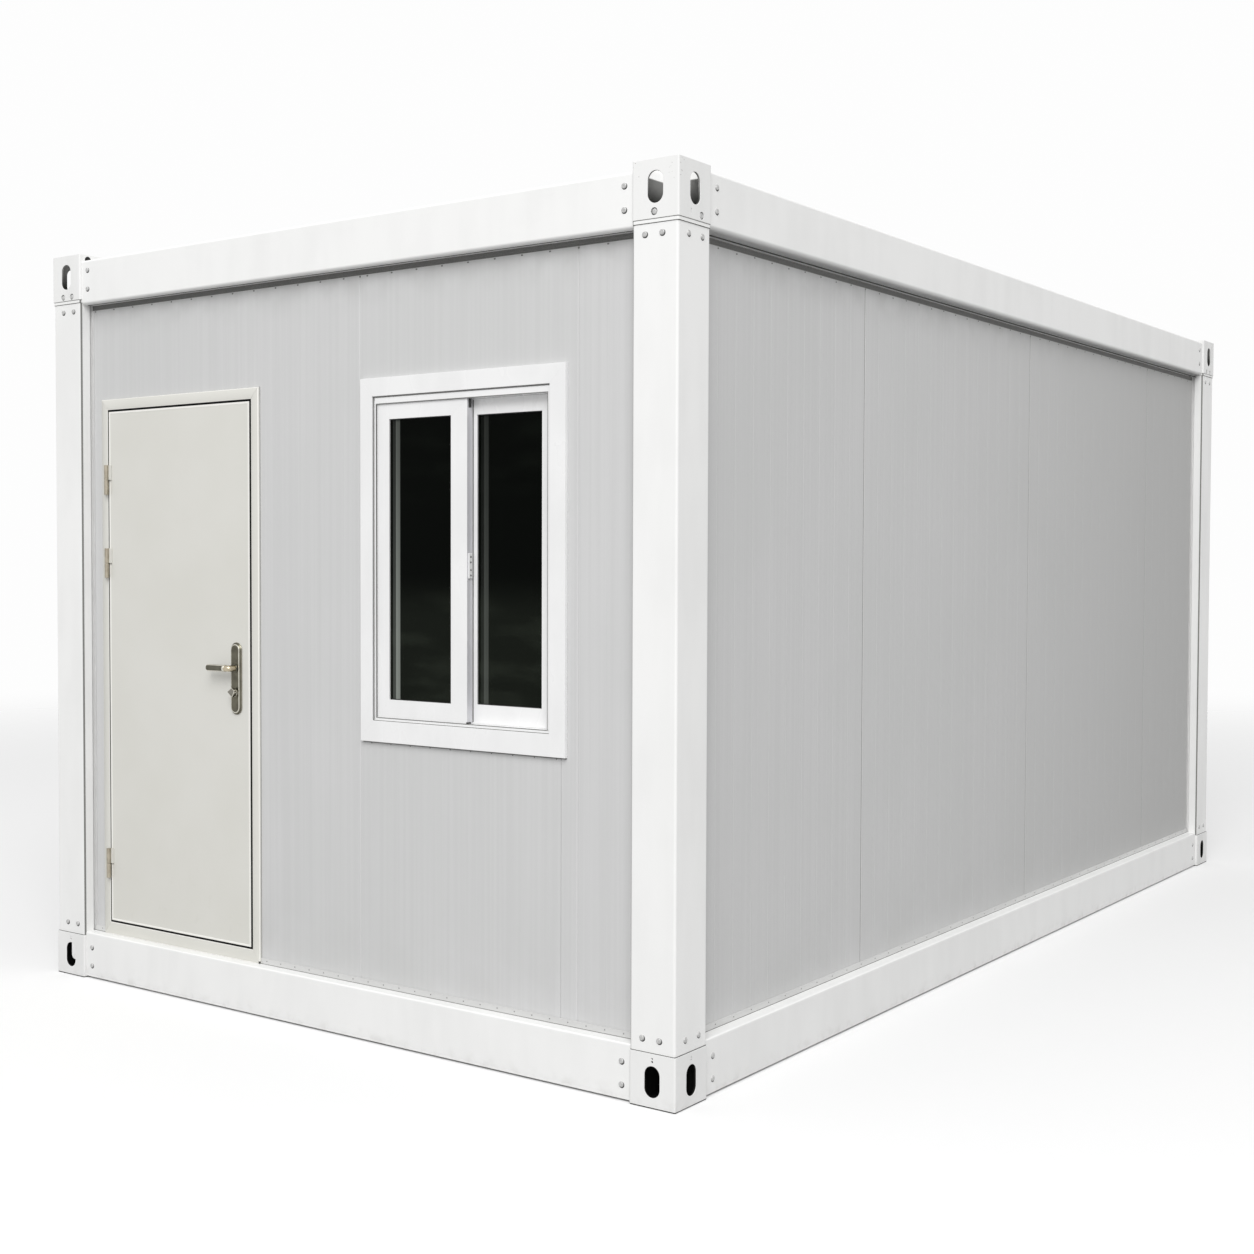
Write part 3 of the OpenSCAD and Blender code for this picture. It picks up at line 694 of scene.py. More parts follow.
def sliced(node, run, low, high, grow=0.6 * MM):
    """A thin slice of a node between two places along its run, grown a little all round."""
    thing = taken_from(node, "slice")
    with editing(thing):
        for place, side in ((low, -1), (high, 1)):
            bpy.ops.mesh.select_all(action="SELECT")
            bpy.ops.mesh.bisect(plane_co=run * place, plane_no=run * side, use_fill=True, clear_outer=True)
        verts = [vert.co for vert in bmesh.from_edit_mesh(thing.data).verts]
        ends = [Vector(pick(vert[axis] for vert in verts) for axis in range(3)) for pick in (min, max)]
        size = ends[1] - ends[0]
        # grown across the run only, so the slice keeps its thickness
        scale = [1 + (2 * grow / size[axis]) * (1 - abs(run[axis])) for axis in range(3)]
        bpy.ops.mesh.select_all(action="SELECT")
        bpy.ops.transform.resize(value=scale, center_override=(ends[0] + ends[1]) / 2)
    return thing


def joint_lines(grey):
    """Grey lines painted as shade where the columns meet the corner fittings."""
    slices = []
    for node in frame["nodes"]:
        low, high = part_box(node)
        if node.startswith("column_"):
            for foot, head in ((low.z, low.z + 1.7 * MM), (high.z - 13.5 * MM, high.z - 11.8 * MM),
                               (high.z - 1.4 * MM, high.z)):
                slices.append(sliced(node, UP, foot, head))
    finished(join(slices, "frame_joint_packing"), grey)


def inside_fitting(middle):
    """Whether a place lies on the inner walls of a hollow corner fitting."""
    within_x = column_x + 3 * MM < abs(middle.x) < half_width - 3 * MM
    within_y = column_y + 3 * MM < abs(middle.y) < half_length - 3 * MM
    in_foot = 2 * MM < middle.z <= 180 * MM
    in_head = height - 178 * MM <= middle.z < height - 2 * MM
    return within_x and within_y and (in_foot or in_head)


def by_wall(middle):
    """Whether a place lies on a column's rounded edge beside a wall."""
    beside_end = abs(middle.x) < column_x + 4 * MM and abs(middle.y) > half_length - 12 * MM
    beside_side = abs(middle.y) < column_y + 4 * MM and abs(middle.x) > half_width - 12 * MM
    return beside_end or beside_side


def beam_flanges():
    """The bottom beams' outer faces carried down nearly to the ground."""
    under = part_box("bottom_beam_front")[0].z
    strips = [bar for bar, _ in all_round(40 * MM, 10.3 * MM, under - 7 * MM, under + 7 * MM)]
    return join([soften(strip, 0.6 * MM) for strip in strips], "beam_flanges")


def plug_places():
    """Places for a black plug, painted as the shade in a hole, on both inner plates of every top fitting,
    just above the beams.
    """
    inward, plug_z = 41 * MM, height - 20.5 * MM
    places = []
    for x, y in corners:
        places.append(at((x * (column_x + MM), y * (half_length - inward), plug_z), (-x, 0, 0)))
        places.append(at((x * (half_width - inward), y * (column_y + MM), plug_z), (0, -y, 0)))
    return places


def steel_frame(white, chipped, inside, bolts, dark, grey, seal):
    """The fittings, columns and beams with their bolts, and the grey lines, dark crescents and black plugs
    painted as shade.
    """
    fittings = {"corner_fittings_top": top_fittings(), "corner_fittings_bottom": bottom_fittings()}
    for node, thing in fittings.items():
        # the fittings' inner walls get the painted shade and glow
        paint_faces(painted(thing, chipped), inside, inside_fitting)
        # painted shadow: the bottom fittings' lowest band is black, for the contact shadow at the ground
        paint_faces(thing, seal, lambda middle: middle.z < 3 * MM)
        finished(thing, None, stands_for=[node])
    for node in frame["nodes"]:
        if node.startswith(("column_", "top_beam_", "bottom_beam_")):
            bar = painted(soften(taken_from(node), 1.2 * MM), white)
            if node.startswith("column_"):
                # painted shade: the columns' rounded edges beside the walls get the grey, for the shade
                # where column and wall meet
                paint_faces(bar, grey, by_wall)
            finished(bar, None, stands_for=[node])
    joint_lines(grey)
    finished(beam_flanges(), white)
    places = beam_bolts() + column_bolts()
    sunk = [at(point - out * 4 * MM, out) for point, out in fitting_bolts()]
    finished(repeated(bolt_head(), places + sunk, "frame_bolts"), bolts)
    # painted shade: a dark disc set off-centre under each bolt head shows as a dark crescent on one side of
    # it, standing in for the shade on the dome
    hole = rod((1.6 * MM, -1.9 * MM, -1 * MM), (1.6 * MM, -1.9 * MM, 0.4 * MM), 10.4 * MM, 18, "clearance")
    finished(repeated(soften(hole, 0.2 * MM, 1), places, "bolt_clearances"), dark)
    # black plugs painted as the shade in the holes of the fittings' inner plates
    plug = bolt_head(15 * MM, 3 * MM, 3 * MM)
    finished(repeated(plug, plug_places(), "fitting_plugs"), seal)


# ---- walls ----

def lines_between(low, high, step, line):
    """Places at an even step between two ends, in step with one given line."""
    first = math.ceil((low - line) / step)
    last = math.floor((high - line) / step)
    return [line + count * step for count in range(first, last + 1)]


def grooves(panel, along, out, places, half, depth, floor=0.0):
    """Straight grooves across the outer face of a panel, with a flat floor or a sharp bottom."""
    face = max(vert.co.dot(out) for vert in panel.data.vertices)
    bottoms = [place + side for place in places for side in (-floor, floor)]
    rims = [place + side for place in places for side in (-half, half)]

    def in_bottom(vert):
        across = vert.co.dot(along)
        on_face = abs(vert.co.dot(out) - face) < 0.05 * MM
        return on_face and any(abs(across - line) < 0.05 * MM for line in bottoms)

    with editing(panel, "VERT"):
        for line in sorted(set(bottoms + rims)):
            bpy.ops.mesh.select_all(action="SELECT")
            bpy.ops.mesh.bisect(plane_co=along * line, plane_no=along)
        choose("verts", in_bottom)
        bpy.ops.transform.translate(value=-out * depth)
    return panel


def ribbed_wall(name, low, high, along, out, seams):
    """A wall of sandwich panels: fine upright ribs outside, panel joints on both faces."""
    wall = block(low, high, name)
    ends = sorted((low.dot(along), high.dot(along)))
    ribs = lines_between(ends[0] + 15 * MM, ends[1] - 15 * MM, rib_pitch, seams[0])
    ribs = [rib for rib in ribs if min(abs(rib - seam) for seam in seams) > 15 * MM]
    rise = front_rib_rise if along is along_x else side_rib_rise
    grooves(wall, along, out, seams, seam_half, seam_depth, seam_floor)
    grooves(wall, along, out, ribs, rib_half, -rise, 0.6 * MM)
    grooves(wall, along, -out, seams, 1.5 * MM, 1.5 * MM)
    return wall, ribs + list(seams)


def front_wall():
    """The front wall in one piece, with the doorway, the window and one short panel joint cut out."""
    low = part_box("front_wall_left")[0]
    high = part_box("front_wall_window")[1]
    wall, ribs = ribbed_wall("front_panels", low, high, along_x, FRONT, front_seams)
    past = Vector((0, 0.2, 0))
    door_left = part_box("front_wall_left")[1].x
    door_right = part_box("front_wall_window")[0].x
    door_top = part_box("front_wall_over_door")[0].z
    door_corner_low = Vector((door_left, low.y, low.z - 0.1))
    door_corner_high = Vector((door_right, high.y, door_top))
    window_low = Vector((frame_low.x, low.y, frame_low.z))
    window_high = Vector((frame_high.x, high.y, frame_high.z))
    cut(wall, [block(door_corner_low - past, door_corner_high + past),
               block(window_low - past, window_high + past)])
    joint = trim_high.x - 24 * MM
    joint_top = trim_low.z + 20 * MM
    under_window = block((joint - MM, low.y - 2 * MM, low.z), (joint + MM, low.y + 2 * MM, joint_top))
    return cut(wall, [under_window]), ribs


def small_dash():
    """A short notch with rounded ends, facing up."""
    dash = block((-4 * MM, -2.5 * MM, -1 * MM), (4 * MM, 2.5 * MM, 0.6 * MM), "small_dash")
    with editing(dash, "EDGE"):
        choose("edges", lambda edge: abs(edge.verts[0].co.z - edge.verts[1].co.z) > MM)
        bpy.ops.mesh.bevel(offset=2 * MM, segments=2, affect="EDGES")
    return dash


def all_round(depth_in, depth_out, low_z, high_z):
    """Four bars along the walls between the columns, as depths behind the frame's outer faces."""
    bars = []
    for side in (-1, 1):
        ys = sorted((side * (half_length - depth_in), side * (half_length - depth_out)))
        xs = sorted((side * (half_width - depth_in), side * (half_width - depth_out)))
        bars.append((block((-column_x, ys[0], low_z), (column_x, ys[1], high_z)), Vector((0, side, 0))))
        bars.append((block((xs[0], -column_y, low_z), (xs[1], column_y, high_z)), Vector((side, 0, 0))))
    return bars


def shade_strips(grey, dark):
    """Strips painted as shade: the ridged gasket over the walls, grey for the shaded recess under the beams,
    a dark line under the top beams, grey lines at the walls' foot and ends.
    """
    head = []
    # a ridged gasket, its grey painted as the shade in the recess under the beams
    for bar, out in all_round(79 * MM, 62.5 * MM, wall_top, wall_top + 20 * MM):
        middle = wall_top + 10 * MM
        head.append(grooves(bar, UP, out, [middle - 5 * MM, middle, middle + 5 * MM], 1.6 * MM, 1.2 * MM))
    finished(join(head, "wall_head_gasket"), grey)
    # a thin dark line painted as the shadow under the top beams
    under = [soften(bar, 0.3 * MM) for bar, _ in all_round(46 * MM, 38 * MM, wall_top + 19.4 * MM,
                                                          wall_top + 21 * MM)]
    finished(join(under, "strip_under_beams"), dark)
    trim_depth = half_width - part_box("wall_foot_trims")[1].x
    # a grey line painted as shade at the walls' foot
    foot = [soften(bar, 0.3 * MM) for bar, _ in all_round(trim_depth + 8 * MM, trim_depth - 0.5 * MM,
                                                         wall_foot - 0.4 * MM, wall_foot + 2 * MM)]
    finished(join(foot, "wall_foot_packing"), grey)
    # grey lines painted as shade where the walls meet the columns
    across, behind = (-3 * MM, MM), (-2 * MM, 1.8 * MM)
    junction = []
    for x, y in corners:
        for middle_x, spread_x, middle_y, spread_y in ((column_x, across, wall_face_y, behind),
                                                       (wall_face_x, behind, column_y, across)):
            xs = sorted(x * (middle_x + spread) for spread in spread_x)
            ys = sorted(y * (middle_y + spread) for spread in spread_y)
            line = block((xs[0], ys[0], wall_foot + 2 * MM), (xs[1], ys[1], wall_top))
            junction.append(soften(line, 0.6 * MM))
    finished(join(junction, "wall_edge_packing"), grey)


def joint_seals(grey):
    """Round beads in the panel joints of both long walls."""
    beads = []
    for place in side_seams:
        for xs in ((-wall_face_x + MM, -wall_face_x + 4 * MM), (wall_face_x - 4 * MM, wall_face_x - MM)):
            bead = block((xs[0], place - 1.7 * MM, wall_foot + MM), (xs[1], place + 1.7 * MM, wall_top - MM))
            beads.append(soften(bead, 0.4 * MM))
    finished(join(beads, "panel_joint_seals"), grey)


def rivets_and_notches(ribs, grey):
    """Rivets along the foot trims, and a grey notch painted as shade at the head of every rib and joint."""
    rivet_z = wall_foot + 13 * MM
    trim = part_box("wall_foot_trims")[1]
    rivets, notches = [], []
    for place in lines_between(-column_x + 20 * MM, column_x - 10 * MM, 73 * MM, 30 * MM):
        rivets.append(at((place, trim.y, rivet_z), REAR))
        if not door_low.x - 5 * MM < place < door_high.x + 5 * MM:
            rivets.append(at((place, -trim.y, rivet_z), FRONT))
    # grey notches painted as shade at the head of every rib
    for index, place in enumerate(ribs["right_wall"]):
        drop = wall_top - (4 + 2 * (index * 7 % 3)) * MM  # a little uneven from rib to rib
        for side in (-1, 1):
            rivets.append(at((side * trim.x, place, rivet_z), (side, 0, 0)))
            notches.append(at((side * wall_face_x, place, drop), (side, 0, 0)))
    notches += [at((place, -wall_face_y, wall_top - 5 * MM), FRONT) for place in ribs["front_wall"]]
    notches += [at((place, wall_face_y, wall_top - 5 * MM), REAR) for place in ribs["rear_wall"]]
    rivet = bolt_head(2.3 * MM, 1.1 * MM, 1 * MM, 8)
    finished(repeated(rivet, rivets, "foot_rivets"), grey)
    finished(repeated(small_dash(), notches, "rib_end_notches"), grey)


def walls(coat, trim, dark, grey):
    """The ribbed walls with their trims, seals and rivets, and the strips and notches painted as shade."""
    ribs = {}
    wall, ribs["front_wall"] = front_wall()
    nodes = ["front_wall_left", "front_wall_over_door", "front_wall_window"]
    finished(wall, coat, stands_for=nodes)
    for node, along, out, seams in (("rear_wall", along_x, REAR, rear_seams),
                                    ("right_wall", along_y, RIGHT, side_seams),
                                    ("left_wall", along_y, LEFT, side_seams)):
        low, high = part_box(node)
        wall, ribs[node] = ribbed_wall(node + "_panels", low, high, along, out, seams)
        finished(wall, coat, stands_for=[node])
    for node in ("wall_foot_trims", "wall_edge_trims"):
        finished(soften(taken_from(node), 0.7 * MM), trim, stands_for=[node])
    shade_strips(grey, dark)
    joint_seals(grey)
    rivets_and_notches(ribs, grey)


# ---- roof, ceiling and floor ----

def roof(coat, bolts):
    """The roof sheet with a row of screws along every rib."""
    finished(smooth(taken_from("roof_sheet"), 25), coat, stands_for=["roof_sheet"])
    low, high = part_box("roof_sheet")
    ribs = 12
    step = (high.x - low.x) / ribs
    places = []
    for rib in range(ribs):
        x = low.x + (rib + 0.5) * step
        for y in lines_between(low.y + 90 * MM, high.y - 50 * MM, 860 * MM, low.y + 100 * MM):
            places.append(at((x, y, high.z), UP))
    screw = bolt_head(6 * MM, 4 * MM, 1 * MM, 10)
    finished(repeated(screw, places, "roof_screws"), bolts)


def ceiling_and_floor(lining, boards):
    """The lining and the floor board with the joints between their sheets."""
    ceiling = taken_from("ceiling_panel")
    grooves(ceiling, along_y, -UP, lines_between(-2.4, 2.4, 0.6, 0.3), 2 * MM, 1.5 * MM)
    finished(ceiling, lining, stands_for=["ceiling_panel"])
    deck = taken_from("floor_deck")
    grooves(deck, along_y, UP, lines_between(-2.4, 2.4, 1.22, 0.0), 1.5 * MM, 1.5 * MM)
    grooves(deck, along_x, UP, [0.0], 1.5 * MM, 1.5 * MM)
    finished(deck, boards, stands_for=["floor_deck"])


# ---- frames with mitred corners ----

def member(low, high, run, inner, start, end, edge):
    """One bar of a frame, rounded along its length and mitred to bars as wide as start and end."""
    bar = block(low, high)
    middle = (Vector(low) + Vector(high)) / 2
    with editing(bar, "VERT"):
        for side, length in ((-1, start), (1, end)):
            choose("verts", lambda vert: (vert.co - middle).dot(run) * side > 0
                   and (vert.co - middle).dot(inner) > 0)
            bpy.ops.transform.translate(value=run * (-side * length))
    with editing(bar, "EDGE"):
        choose("edges", lambda edge: abs((edge.verts[0].co - edge.verts[1].co).normalized().dot(run)) > 0.99)
        bpy.ops.mesh.bevel(offset=edge, segments=2, affect="EDGES")
    return soften(bar, 0.25 * MM, 1)


def mitred(name, low, high, left, right, foot, head, edge=0.8 * MM):
    """A rectangular frame of four mitred bars standing in the front wall."""
    bars = [
        member(low, (high.x, high.y, low.z + foot), along_x, UP, left, right, edge),
        member((low.x, low.y, high.z - head), high, along_x, -UP, left, right, edge),
        member(low, (low.x + left, high.y, high.z), UP, RIGHT, foot, head, edge),
        member((high.x - right, low.y, low.z), high, UP, LEFT, foot, head, edge)]
    return join(bars, name)


def ring(name, low, high, near, far, width, outside=False):
    """A thin mitred ring just inside, or just outside, a rectangle on the front wall."""
    spread = Vector((width, 0, width)) if outside else Vector((0, 0, 0))
    low, high = deep(low - spread, high + spread, near, far)
    return mitred(name, low, high, *[width] * 4, 0.3 * MM)


def deep(low, high, near, far):
    """Two corners of a box with its front and back moved to new places along Y."""
    return Vector((low.x, near, low.z)), Vector((high.x, far, high.z))


# ---- window ----

def window(white, shaded, glass, seal, dark, grey):
    """The window's trims, frame, sashes and panes, all mitred at their corners."""
    inner_wall = -wall_face_y + wall_thick
    outside = mitred("trim", *deep(trim_low, trim_high, trim_low.y, -wall_face_y),
                     trim_left, trim_side, trim_foot, trim_side, 1.5 * MM)
    inside = mitred("trim", *deep(trim_low, trim_high, inner_wall, trim_high.y),
                    trim_side, trim_side, trim_foot, trim_side, 1 * MM)
    trim = join([outside, inside], "mitred_window_trim")
    finished(trim, white, stands_for=["window_trim"])
    case = soften(taken_from("window_frame"), 1.0 * MM)
    finished(case, white, stands_for=["window_frame"])
    for node, left, right in (("window_sash_left", sash_side, meet_width),
                              ("window_sash_right", meet_width, sash_side + 6 * MM)):
        low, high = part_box(node)
        sash = mitred("mitred_" + node, low, high, left, right, sash_foot, sash_side, 1.5 * MM)
        # painted shade: the sash's right side face gets the darker copy of the white
        paint_faces(painted(sash, white), shaded, lambda middle: middle.x > high.x - 0.3 * MM)
        finished(sash, None, stands_for=[node])
        pane_front = low.y + 10 * MM
        pane_low = Vector((low.x + left, pane_front - 4 * MM, low.z + sash_foot))
        pane_high = Vector((high.x - right, pane_front, high.z - sash_side))
        bead = mitred("glass_seal_" + node[12:], pane_low, pane_high, *[2.5 * MM] * 4, 0.6 * MM)
        finished(bead, seal)
    for slot in frame["nodes"]["window_panes"].material_slots:
        slot.material = glass
    window_shade_lines(white, dark, grey)
    latch(white, dark)


def window_shade_lines(white, dark, grey):
    """Grey lines painted as shade round the frame and the sashes, the meeting stile's dark stops with a thin
    dark line painted as the shade between the sashes, and a grey line painted as shade under the trim with
    its rivets.
    """
    hole_low = Vector((trim_low.x + trim_left, 0, trim_low.z + trim_foot))
    hole_high = Vector((trim_high.x - trim_side, 0, trim_high.z - trim_side))
    lip = frame_low.y
    # grey rings painted as the shade in the gaps round the frame and the sashes
    trim_ring = ring("trim_seal", hole_low, hole_high, lip - 1.2 * MM, lip + 2 * MM, 2 * MM)
    sashes_low = Vector((sash_low.x, 0, sash_low.z))
    lip_width = 9 * MM
    sashes_high = Vector((far_sash_high.x - lip_width, 0, far_sash_high.z))
    guide = soften(block((sashes_high.x, lip, sash_low.z), (far_sash_high.x + MM, far_sash_low.y - 2 * MM,
                                                            sash_high.z)), 0.6 * MM)
    finished(guide, white)
    sash_ring = ring("sash_seal", sashes_low, sashes_high, lip - 0.8 * MM, lip + 4 * MM, 2.2 * MM, True)
    finished(join([trim_ring, sash_ring], "window_frame_seals"), grey)
    # dark marks at the foot and head of the meeting stile, and a thin dark line painted as the shade between
    # the sashes
    stile = sash_high.x
    stops = [soften(block((stile - 3 * MM, sash_low.y - 1.5 * MM, sash_low.z - 5 * MM),
                          (stile + 5 * MM, sash_low.y + 16 * MM, sash_low.z + 5 * MM)), MM),
             soften(block((stile - 1 * MM, sash_low.y + 8 * MM, sash_high.z - 30 * MM),
                          (stile + 3 * MM, sash_low.y + 20 * MM, sash_high.z + 3 * MM)), MM),
             soften(block((stile - 1 * MM, far_sash_low.y - 0.8 * MM, sash_low.z + 4 * MM),
                          (stile + 2 * MM, far_sash_low.y + 0.5 * MM, sash_high.z - 4 * MM)), 0.3 * MM)]
    finished(join(stops, "sash_stops"), dark)
    # a grey line painted as the shadow under the trim's bottom edge, with small rivets along it
    line_low = Vector((trim_low.x + MM, -wall_face_y - 1.2 * MM, trim_low.z - 5 * MM))
    line_high = Vector((trim_high.x - MM, -wall_face_y + 2 * MM, trim_low.z + 3 * MM))
    line = soften(block(line_low, line_high), 0.4 * MM)
    dots = [at((place, -wall_face_y, trim_low.z - 6.5 * MM), FRONT)
            for place in lines_between(trim_low.x + 30 * MM, trim_high.x, 90 * MM, trim_low.x + 40 * MM)]
    dots = repeated(bolt_head(2.3 * MM, 1.4 * MM, 1 * MM, 8), dots, "dots")
    finished(join([line, dots], "line_under_trim"), grey)


def latch(white, dark):
    """The sash latch: a rounded plate with four small dark caps."""
    low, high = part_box("window_latch")
    parts = [painted(soften(block(low, high, "sash_latch"), 2 * MM, 3), white)]
    middle = (low + high) / 2
    for rise in (-32 * MM, -14 * MM, 12 * MM, 30 * MM):
        start = Vector((high.x - MM, middle.y, middle.z + rise))
        parts.append(painted(soften(rod(start, start + RIGHT * 1.8 * MM, 3.2 * MM, 12), 0.4 * MM), dark))
    finished(join(parts, "sash_latch"), None, stands_for=["window_latch"])


# ---- door ----

def leaf(paint, painted_edge_highlight):
    """The leaf: a flat panel inside a folded border on both faces."""
    thing = painted(block(leaf_low, leaf_high, "panelled_door_leaf"), paint, painted_edge_highlight)
    border, fold = 7 * MM, MM
    with editing(thing):
        choose("faces", lambda face: abs(face.normal.y) > 0.9)
        bpy.ops.mesh.inset(thickness=border, depth=0)
        bpy.ops.mesh.inset(thickness=fold, depth=-0.8 * MM)
    # the border and the rounded edges get the paler second coat, a painted highlight
    panel_left = leaf_low.x + border + fold / 2
    panel_right = leaf_high.x - border - fold / 2
    for face in thing.data.polygons:
        places = [thing.data.vertices[index].co.x for index in face.vertices]
        inside = panel_left < min(places) and max(places) < panel_right
        face.material_index = 0 if inside or abs(face.normal.y) < 0.5 else 1
    return edged(thing, 1.2 * MM, 60)


def mitre_slit(corner, turn, length):
    """A thin upright blade at a frame's corner, turned along the mitre."""
    blade = block((-length / 2, -1.4 * MM, -0.35 * MM), (length / 2, 3 * MM, 0.35 * MM))
    alone(blade)
    bpy.ops.transform.rotate(value=turn, orient_axis="Y", center_override=(0, 0, 0))
    bpy.ops.transform.translate(value=corner)
    bpy.ops.object.transform_apply(location=True, rotation=True, scale=True)
    return blade


def door_case(paint, painted_edge_highlight):
    """The door frame with softened edges and mitre joints."""
    # the frame's rounded edges get the paler coat, a painted highlight
    case = edged(painted(taken_from("door_frame"), paint, painted_edge_highlight), 2.4 * MM, 40)
    side, head, sill = 38 * MM, 42 * MM, 49 * MM
    slits = []
    for x, inward in ((door_low.x, 1), (door_high.x, -1)):
        for z, rise in ((door_low.z, sill), (door_high.z, -head)):
            corner = Vector((x + inward * side / 2, door_low.y, z + rise / 2))
            slope = math.atan2(rise, inward * side)
            slits.append(mitre_slit(corner, slope, math.hypot(side, rise) - 4 * MM))
    return cut(case, slits)


def door(paint, painted_edge_highlight, seal, dark, grey, hinges):
    """The door frame, the leaf and the hinges between them, with the seals round the leaf."""
    finished(door_case(paint, painted_edge_highlight), None, stands_for=["door_frame"])
    finished(leaf(paint, painted_edge_highlight), None, "door", ["door_leaf"])
    axis = joint_at["door_hinge"]
    for node, body in (("hinge_frame_halves", "building"), ("hinge_leaf_halves", "door")):
        halves = painted(soften(taken_from(node), 0.8 * MM), hinges)
        # the flaps are painted over, the knuckles are not
        paint_faces(halves, paint, lambda middle: (middle.xy - axis.xy).length > 9.6 * MM)
        finished(halves, None, body, [node])
    door_seals(seal)
    door_frame_marks(dark, grey)


def door_seals(seal):
    """Black seals on the leaf's edge, in the gap beside it and behind its rim; those in the gap also stand
    in for the gap's shade.
    """
    behind = 1.7 * MM
    # the seals in the gap are black also as painted shade for the gap
    leaf_ring = ring("leaf_edge_seal", leaf_low, leaf_high, leaf_low.y + behind, leaf_high.y - behind,
                     1.5 * MM, True)
    finished(leaf_ring, seal, "door")
    gap = Vector((8 * MM, 0, 8 * MM))
    case_ring = ring("frame_edge_seal", leaf_low - gap, leaf_high + gap, door_low.y + 0.5 * MM,
                     leaf_high.y + 3 * MM, 1.5 * MM)
    lap = Vector((4 * MM, 0, 4 * MM))
    low, high = deep(leaf_low, leaf_high, leaf_high.y + MM, leaf_high.y + 5 * MM)
    back_ring = mitred("door_seal", low - lap, high + lap, *[16 * MM] * 4, 1 * MM)
    finished(join([case_ring, back_ring], "door_seals"), seal)


def door_frame_marks(dark, grey):
    """A grey line painted as shade where the door frame meets the wall, and the drain notch at its foot."""
    line = ring("door_frame_caulk", door_low, door_high, -wall_face_y - 0.8 * MM, -wall_face_y + 3 * MM,
                1.3 * MM, True)
    tick = block((door_high.x - 7 * MM, door_low.y - 0.6 * MM, door_low.z + 1 * MM),
                 (door_high.x + 1.5 * MM, door_low.y + 3 * MM, door_low.z + 9 * MM), "drain_notch")
    soften(tick, 0.8 * MM)
    finished(line, grey)
    finished(tick, dark)


# ---- lock ----

def plate_face(out):
    """Where the outer or the inner lock plate's visible face stands."""
    return outer_plate_face if out == FRONT else inner_plate_face


def lock_plate(node, out, metal, rim_highlight_metal):
    """A long plate with round ends, a chamfer and a painted highlight along the rim round its face, and its
    spindle holes.
    """
    low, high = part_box(node)
    thing = block(low, high, "lock_plate")
    back = (high if out == FRONT else low).y
    thick = high.y - low.y
    with editing(thing, "EDGE"):
        choose("edges", lambda edge: abs(edge.verts[0].co.y - edge.verts[1].co.y) > MM)
        bpy.ops.mesh.bevel(offset=(high.x - low.x) / 2 - 1 * MM, segments=12, affect="EDGES")
        choose("edges", lambda edge: all(abs(vert.co.y - back) > 5 * MM for vert in edge.verts))
        bpy.ops.mesh.bevel(offset=8 * MM, segments=1, affect="EDGES")
        choose("edges", lambda edge: all(abs(vert.co.y - back) > thick - 0.01 * MM for vert in edge.verts))
        bpy.ops.mesh.bevel(offset=2 * MM, segments=1, affect="EDGES")
    middle = (low + high) / 2
    spindles = [Vector((axis.x, middle.y, axis.z)) for axis in (lever_at, turn_at)]
    cut(thing, [pin(place, REAR, 50 * MM, 9 * MM, 20) for place in spindles])
    soften(thing, 0.5 * MM, angle=25)
    painted(thing, metal, rim_highlight_metal)
    for face in thing.data.polygons:
        tilt = abs(face.normal.y)
        # painted highlight: the narrow slopes on both sides of the chamfer get the bright metal, not the
        # face, the chamfer or the sides
        if 0.76 < tilt < 0.985 or 0.1 < tilt < 0.62:
            face.material_index = 1
    return thing


def bent_neck(near, out, radius):
    """A round bar that leaves the plate and bends towards the hinge side."""
    bend = 12.5 * MM
    start = Vector((lever_at.x, near, lever_at.z))
    knee = start + out * 17.5 * MM
    neck = rod(start, knee, radius, 24, "neck")
    with editing(neck):
        choose("faces", lambda face: (face.calc_center_median() - knee).length < MM)
        bpy.ops.mesh.spin(steps=8, angle=math.radians(-90) * out.y, center=knee + LEFT * bend, axis=UP)
        bpy.ops.mesh.extrude_region_move(TRANSFORM_OT_translate={"value": LEFT * 8 * MM})
        bpy.ops.mesh.select_all(action="SELECT")
        bpy.ops.mesh.normals_make_consistent(inside=False)
    return smooth(neck)


